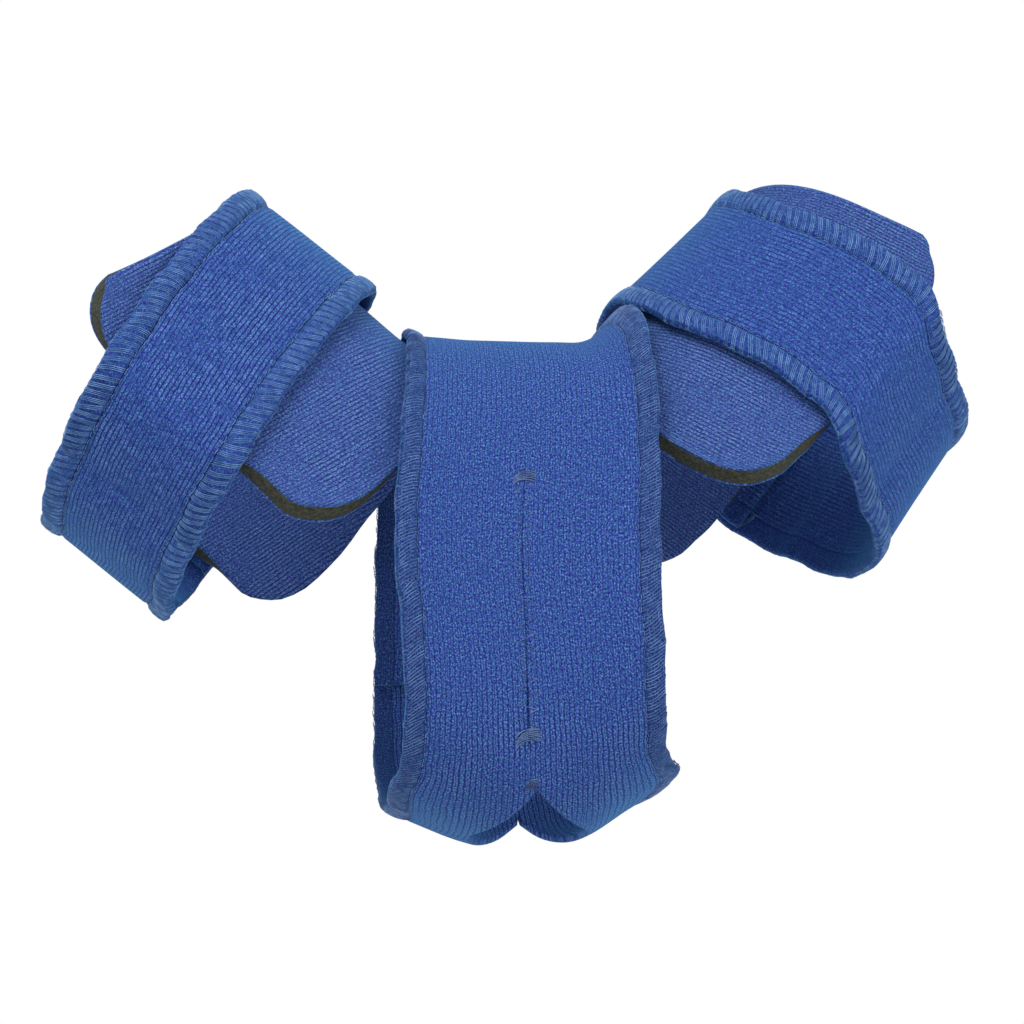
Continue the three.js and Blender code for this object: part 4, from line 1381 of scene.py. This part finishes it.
def sew_hems(name, strap, material):
    count = int((strap.end - LAP_START_ANGLE) * strap.arc / HEM_GUIDE_STEP)
    turns = evenly(LAP_START_ANGLE + 1, strap.end - 1, count) * DEGREE
    reach = strap.hem / 2
    guides = [
        guide_on(strap, turns, np.abs(side - reach / strap.width) + 0 * turns, side, reach=reach)
        for side in (0, 1)
    ]
    return sew(name, guides, overlock_lines(strap), strap.pitch, THREAD_RADIUS, material, STITCH_WANDER)


upper_hems = sew_hems("upper_arm_strap_overlock", upper_arm_strap, hem_thread)
forearm_hems = sew_hems("forearm_strap_overlock", forearm_strap, hem_thread)
elbow_hems = sew_hems("elbow_strap_overlock", elbow_strap, elbow_thread)

# %% [markdown]
# ## The seam of the slit
# A zigzag holds the slit closed on the near side, between two bar tacks. A bar tack is a short, thick
# bundle of threads that takes the pull at the end of a slit. A third one, smaller, guards the point
# where the slit opens under the bend. The threads of the tacks are drawn coarser than the others, so
# that the bundles show.

# %% The zigzag and the bar tacks
SEAM_RADIUS = 0.11
ZIGZAG_PITCH = 4.2
ZIGZAG_REACH = 2.9
ZIGZAG_MARGIN = 2
TACK_LENGTH = 7.2
TACK_THREADS_APART = 0.45
TACK_HEIGHT = 1.8
TACK_RADIUS = 0.17
APEX_TURN = 509.5
APEX_TACK_LENGTH = 3.5
APEX_TACK_RISE = 0.25
APEX_TACK_RADIUS = 0.14
APEX_TACK_WANDER = 0.2


def slit_guide(start, end, count):
    turns = evenly(start, end, count) * DEGREE
    across = read(SLIT_LINE, "turn", turns / DEGREE, "across")
    return guide_on(elbow_strap, turns, across, height=STRAP_THICKNESS)


def tack_lines(length, height=0.45):
    """One thread of a bar tack, arched over the cloth and rising to the right."""
    rows = (
        (-0.5, -0.3, -0.4), (-0.42, -0.17, 0.6), (-0.25, -0.03, 0.9), (0, 0.04, 1),
        (0.25, 0.05, 0.9), (0.42, 0.02, 0.6), (0.5, -0.02, -0.4),
    )
    return [[(x * length, y * length, z * height) for x, y, z in rows]]


def zigzag_stroke(*rows):
    return [(x * ZIGZAG_REACH, y * ZIGZAG_PITCH, z) for x, y, z in rows]


zigzag_lines = [
    zigzag_stroke((-1, -0.5, -0.15), (-0.8, -0.45, 0.1), (-0.2, -0.3, 0.05), (0, -0.25, -0.6)),
    zigzag_stroke((0, -0.25, -0.6), (0.2, -0.2, 0.05), (0.8, -0.05, 0.1), (1, 0, -0.15)),
    zigzag_stroke((1, 0, -0.15), (0.8, 0.05, 0.1), (0.2, 0.2, 0.05), (0, 0.25, -0.6)),
    zigzag_stroke((0, 0.25, -0.6), (-0.2, 0.3, 0.05), (-0.8, 0.45, 0.1), (-1, 0.5, -0.15)),
]
seam_guide = slit_guide(SEAM_START + ZIGZAG_MARGIN, SEAM_END - ZIGZAG_MARGIN, 60)
zigzag = sew(
    "elbow_seam_zigzag", [seam_guide], zigzag_lines, ZIGZAG_PITCH, SEAM_RADIUS, seam_thread, STITCH_WANDER,
)
tack_angle = TACK_HEIGHT / 2 / elbow_strap.arc
tack_guides = [slit_guide(at - tack_angle, at + tack_angle, 6) for at in (SEAM_START, SEAM_END)]
tacks = sew(
    "elbow_seam_bar_tacks", tack_guides, tack_lines(TACK_LENGTH), TACK_THREADS_APART, TACK_RADIUS,
    seam_thread, STITCH_WANDER,
)
apex_guide = [slit_guide(APEX_TURN - 1, APEX_TURN + 1, 4)]
apex_tack = sew(
    "elbow_slit_apex_tack", apex_guide, tack_lines(APEX_TACK_LENGTH, APEX_TACK_RISE),
    TACK_THREADS_APART, APEX_TACK_RADIUS, seam_thread, APEX_TACK_WANDER,
)

# %% [markdown]
# ## Hook tabs
# A tab of hook tape is sewn under the end of each strap and grips the strap's first layer. Only its
# rounded end reaches past the strap. Each tab is a closed sheet in the gap between the two layers,
# and a row of straight stitches across the strap's end holds it. These too are drawn coarse, so that
# the row shows.

# %% The three hook tabs
TAB_ROWS = 30
TAB_COLUMNS = 13
LOCK_PITCH = 2.6
LOCK_SHARE = 0.76
LOCK_INSET = 4
LOCK_RADIUS = 0.22


def make_tab(name, strap):
    room = strap.width - 2 * (HEM_WIDTH + TAB_SIDE_GAP)
    first = strap.end - TAB_GRIP / strap.arc
    last = strap.end + TAB_REACH / strap.arc
    rounding = TAB_CORNER_RADIUS * (1 - np.sin(evenly(0, math.pi / 2, 10)))
    turns = np.concatenate((
        evenly(first, last - TAB_CORNER_RADIUS / strap.arc, TAB_ROWS)[:-1], last - rounding / strap.arc,
    ))
    corner = np.maximum(0, TAB_CORNER_RADIUS - (last - turns) * strap.arc)
    cut = TAB_CORNER_RADIUS - np.sqrt(np.maximum(0, TAB_CORNER_RADIUS**2 - corner**2))
    across = 0.5 + (room / 2 - cut)[:, None] * evenly(-1, 1, TAB_COLUMNS) / strap.width
    turn = turns[:, None] * DEGREE
    floor = STRAP_THICKNESS + TAB_GAP
    grids = [
        strap.place(strap, turn, across, level - lap_height(turn))
        for level in (floor, floor + TAB_THICKNESS)
    ]
    ids = np.arange(2 * across.size).reshape(2, *across.shape)
    along = (turns[:, None] - first) * strap.arc + 0 * across
    uv = np.stack((across * strap.width, along), -1).reshape(-1, 2)
    points = np.concatenate([grid.reshape(-1, 3) for grid in grids])
    piece = closed_mesh(name, points, sheet_faces(*ids), np.tile(uv, (2, 1)))
    piece.data.materials.append(hook_nylon)
    return piece, (room, TAB_GRIP + TAB_REACH)


def lock_row(name, strap):
    """Straight stitches across the strap's end."""
    across = evenly(HEM_WIDTH + TAB_SIDE_GAP, strap.width - HEM_WIDTH - TAB_SIDE_GAP, 30) / strap.width
    turns = 0 * across + (strap.end - LOCK_INSET / strap.arc) * DEGREE
    here, above, inward = guide_on(strap, turns, across, height=STRAP_THICKNESS)
    half = LOCK_PITCH * LOCK_SHARE / 2
    line = [(-half, 0, -0.25), (-half * 0.5, 0, 0.12), (half * 0.5, 0, 0.12), (half, 0, -0.25)]
    return sew(name, [(here, above, inward)], [line], LOCK_PITCH, LOCK_RADIUS, hem_thread)


tabs = {}
for label, strap in straps.items():
    tab, tab_size = make_tab(label + "_hook_tab_tape", strap)
    tabs[label] = (tab, tab_size, lock_row(label + "_hook_tab_stitches", strap))

# %% [markdown]
# ## Floor and light
# The photograph is a product shot on pure white with soft, even light. A white world gives that
# light from all round. One large soft lamp from the upper left gives the cloth its slight shading,
# and a weaker one from the lower right lights the cloth that turns under. The floor lies below the
# camera, because the brace is held up in the air, as it is in use.

# %% Floor, world and lamps
FLOOR_HEIGHT = -205
FLOOR_SIZE = 6


def pale_floor():
    made = new_material("painted studio floor")
    tree = made.node_tree
    place = add(tree, "ShaderNodeTexCoord").outputs["Object"]
    mottle = add(tree, NOISE, {"Vector": place, "Scale": 3, "Detail": 3})
    ramp = add(tree, "ShaderNodeValToRGB", {0: mottle})
    stops(ramp, (0.3, "#e2e2e0"), (0.7, "#e8e8e6"))
    surface = add(tree, "ShaderNodeBsdfPrincipled", {"Base Color": ramp, "Roughness": 0.8})
    add(tree, "ShaderNodeOutputMaterial", {0: surface})
    return made


floor_corners = [
    (x * FLOOR_SIZE / 2, y * FLOOR_SIZE / 2, FLOOR_HEIGHT * MM)
    for x, y in ((-1, -1), (1, -1), (1, 1), (-1, 1))
]
floor_mesh = bpy.data.meshes.new("floor")
floor_mesh.from_pydata(floor_corners, [], [(0, 1, 2, 3)])
floor_mesh.materials.append(pale_floor())
floor = add_object("floor", floor_mesh)

world = bpy.data.worlds.new("white studio")
world.use_nodes = True
world.node_tree.nodes.clear()
path = add(world.node_tree, "ShaderNodeLightPath").outputs["Is Camera Ray"]
AMBIENT = 0.75
strength = add(world.node_tree, RANGE, {"Value": path, "To Min": AMBIENT, "To Max": 1.0})
background = add(world.node_tree, "ShaderNodeBackground", {0: linear("#ffffff"), 1: strength})
add(world.node_tree, "ShaderNodeOutputWorld", {0: background})
bpy.context.scene.world = world
bpy.context.scene.view_settings.view_transform = "Standard"


def soft_lamp(name, place, power, size):
    lamp = bpy.data.lights.new(name, "AREA")
    lamp.energy = power
    lamp.size = size
    made = bpy.data.objects.new(name, lamp)
    made.location = place
    made.rotation_euler = Vector(place).to_track_quat("Z", "Y").to_euler()
    bpy.context.scene.collection.objects.link(made)


soft_lamp("key", (-0.6, -1.0, 0.9), power=14, size=0.7)
soft_lamp("fill", (0.8, -0.9, -0.05), power=6, size=0.9)
print("the white world gives", AMBIENT, "of its light, and the two lamps the rest")

# %% [markdown]
# ## Hand the pieces to the frame
# Every piece rides on the one body, and each solid that a piece stands for is hidden. The size that
# each strap was cut to is printed.

# %% Ride and replace
SEAMS = (zigzag, tacks, apex_tack)
SLIT_AREA = TIP_OPENING_WIDTH * TIP_OPENING_LENGTH / 3
strap_rows = (
    (upper_strap_piece, "upper_arm", upper_strap_length, (upper_hems,), 0),
    (forearm_strap_piece, "forearm", forearm_strap_length, (forearm_hems,), 0),
    (elbow_strap_piece, "elbow", elbow_strap_length, (elbow_hems, *SEAMS), SLIT_AREA),
)
for piece, label, length, stitches, gap_area in strap_rows:
    strap = straps[label]
    tab, tab_size, tab_stitches = tabs[label]
    node = label + "_strap"
    for item in (piece, *stitches, tab, tab_stitches):
        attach(item, "root")
    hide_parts(node)
    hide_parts(label + "_hook_tab")
    print(label, "strap cut in mm:", strap.width, "by", round(float(length)))

for piece, node, material_slot in (
    (pad_lining_piece, "pad_lining", "pad_cloth"), (pad_foam_piece, "pad_foam", "foam"),
    (pad_face_piece, "pad_face", "pad_cloth"),
):
    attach(piece, "root")
    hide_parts(node)
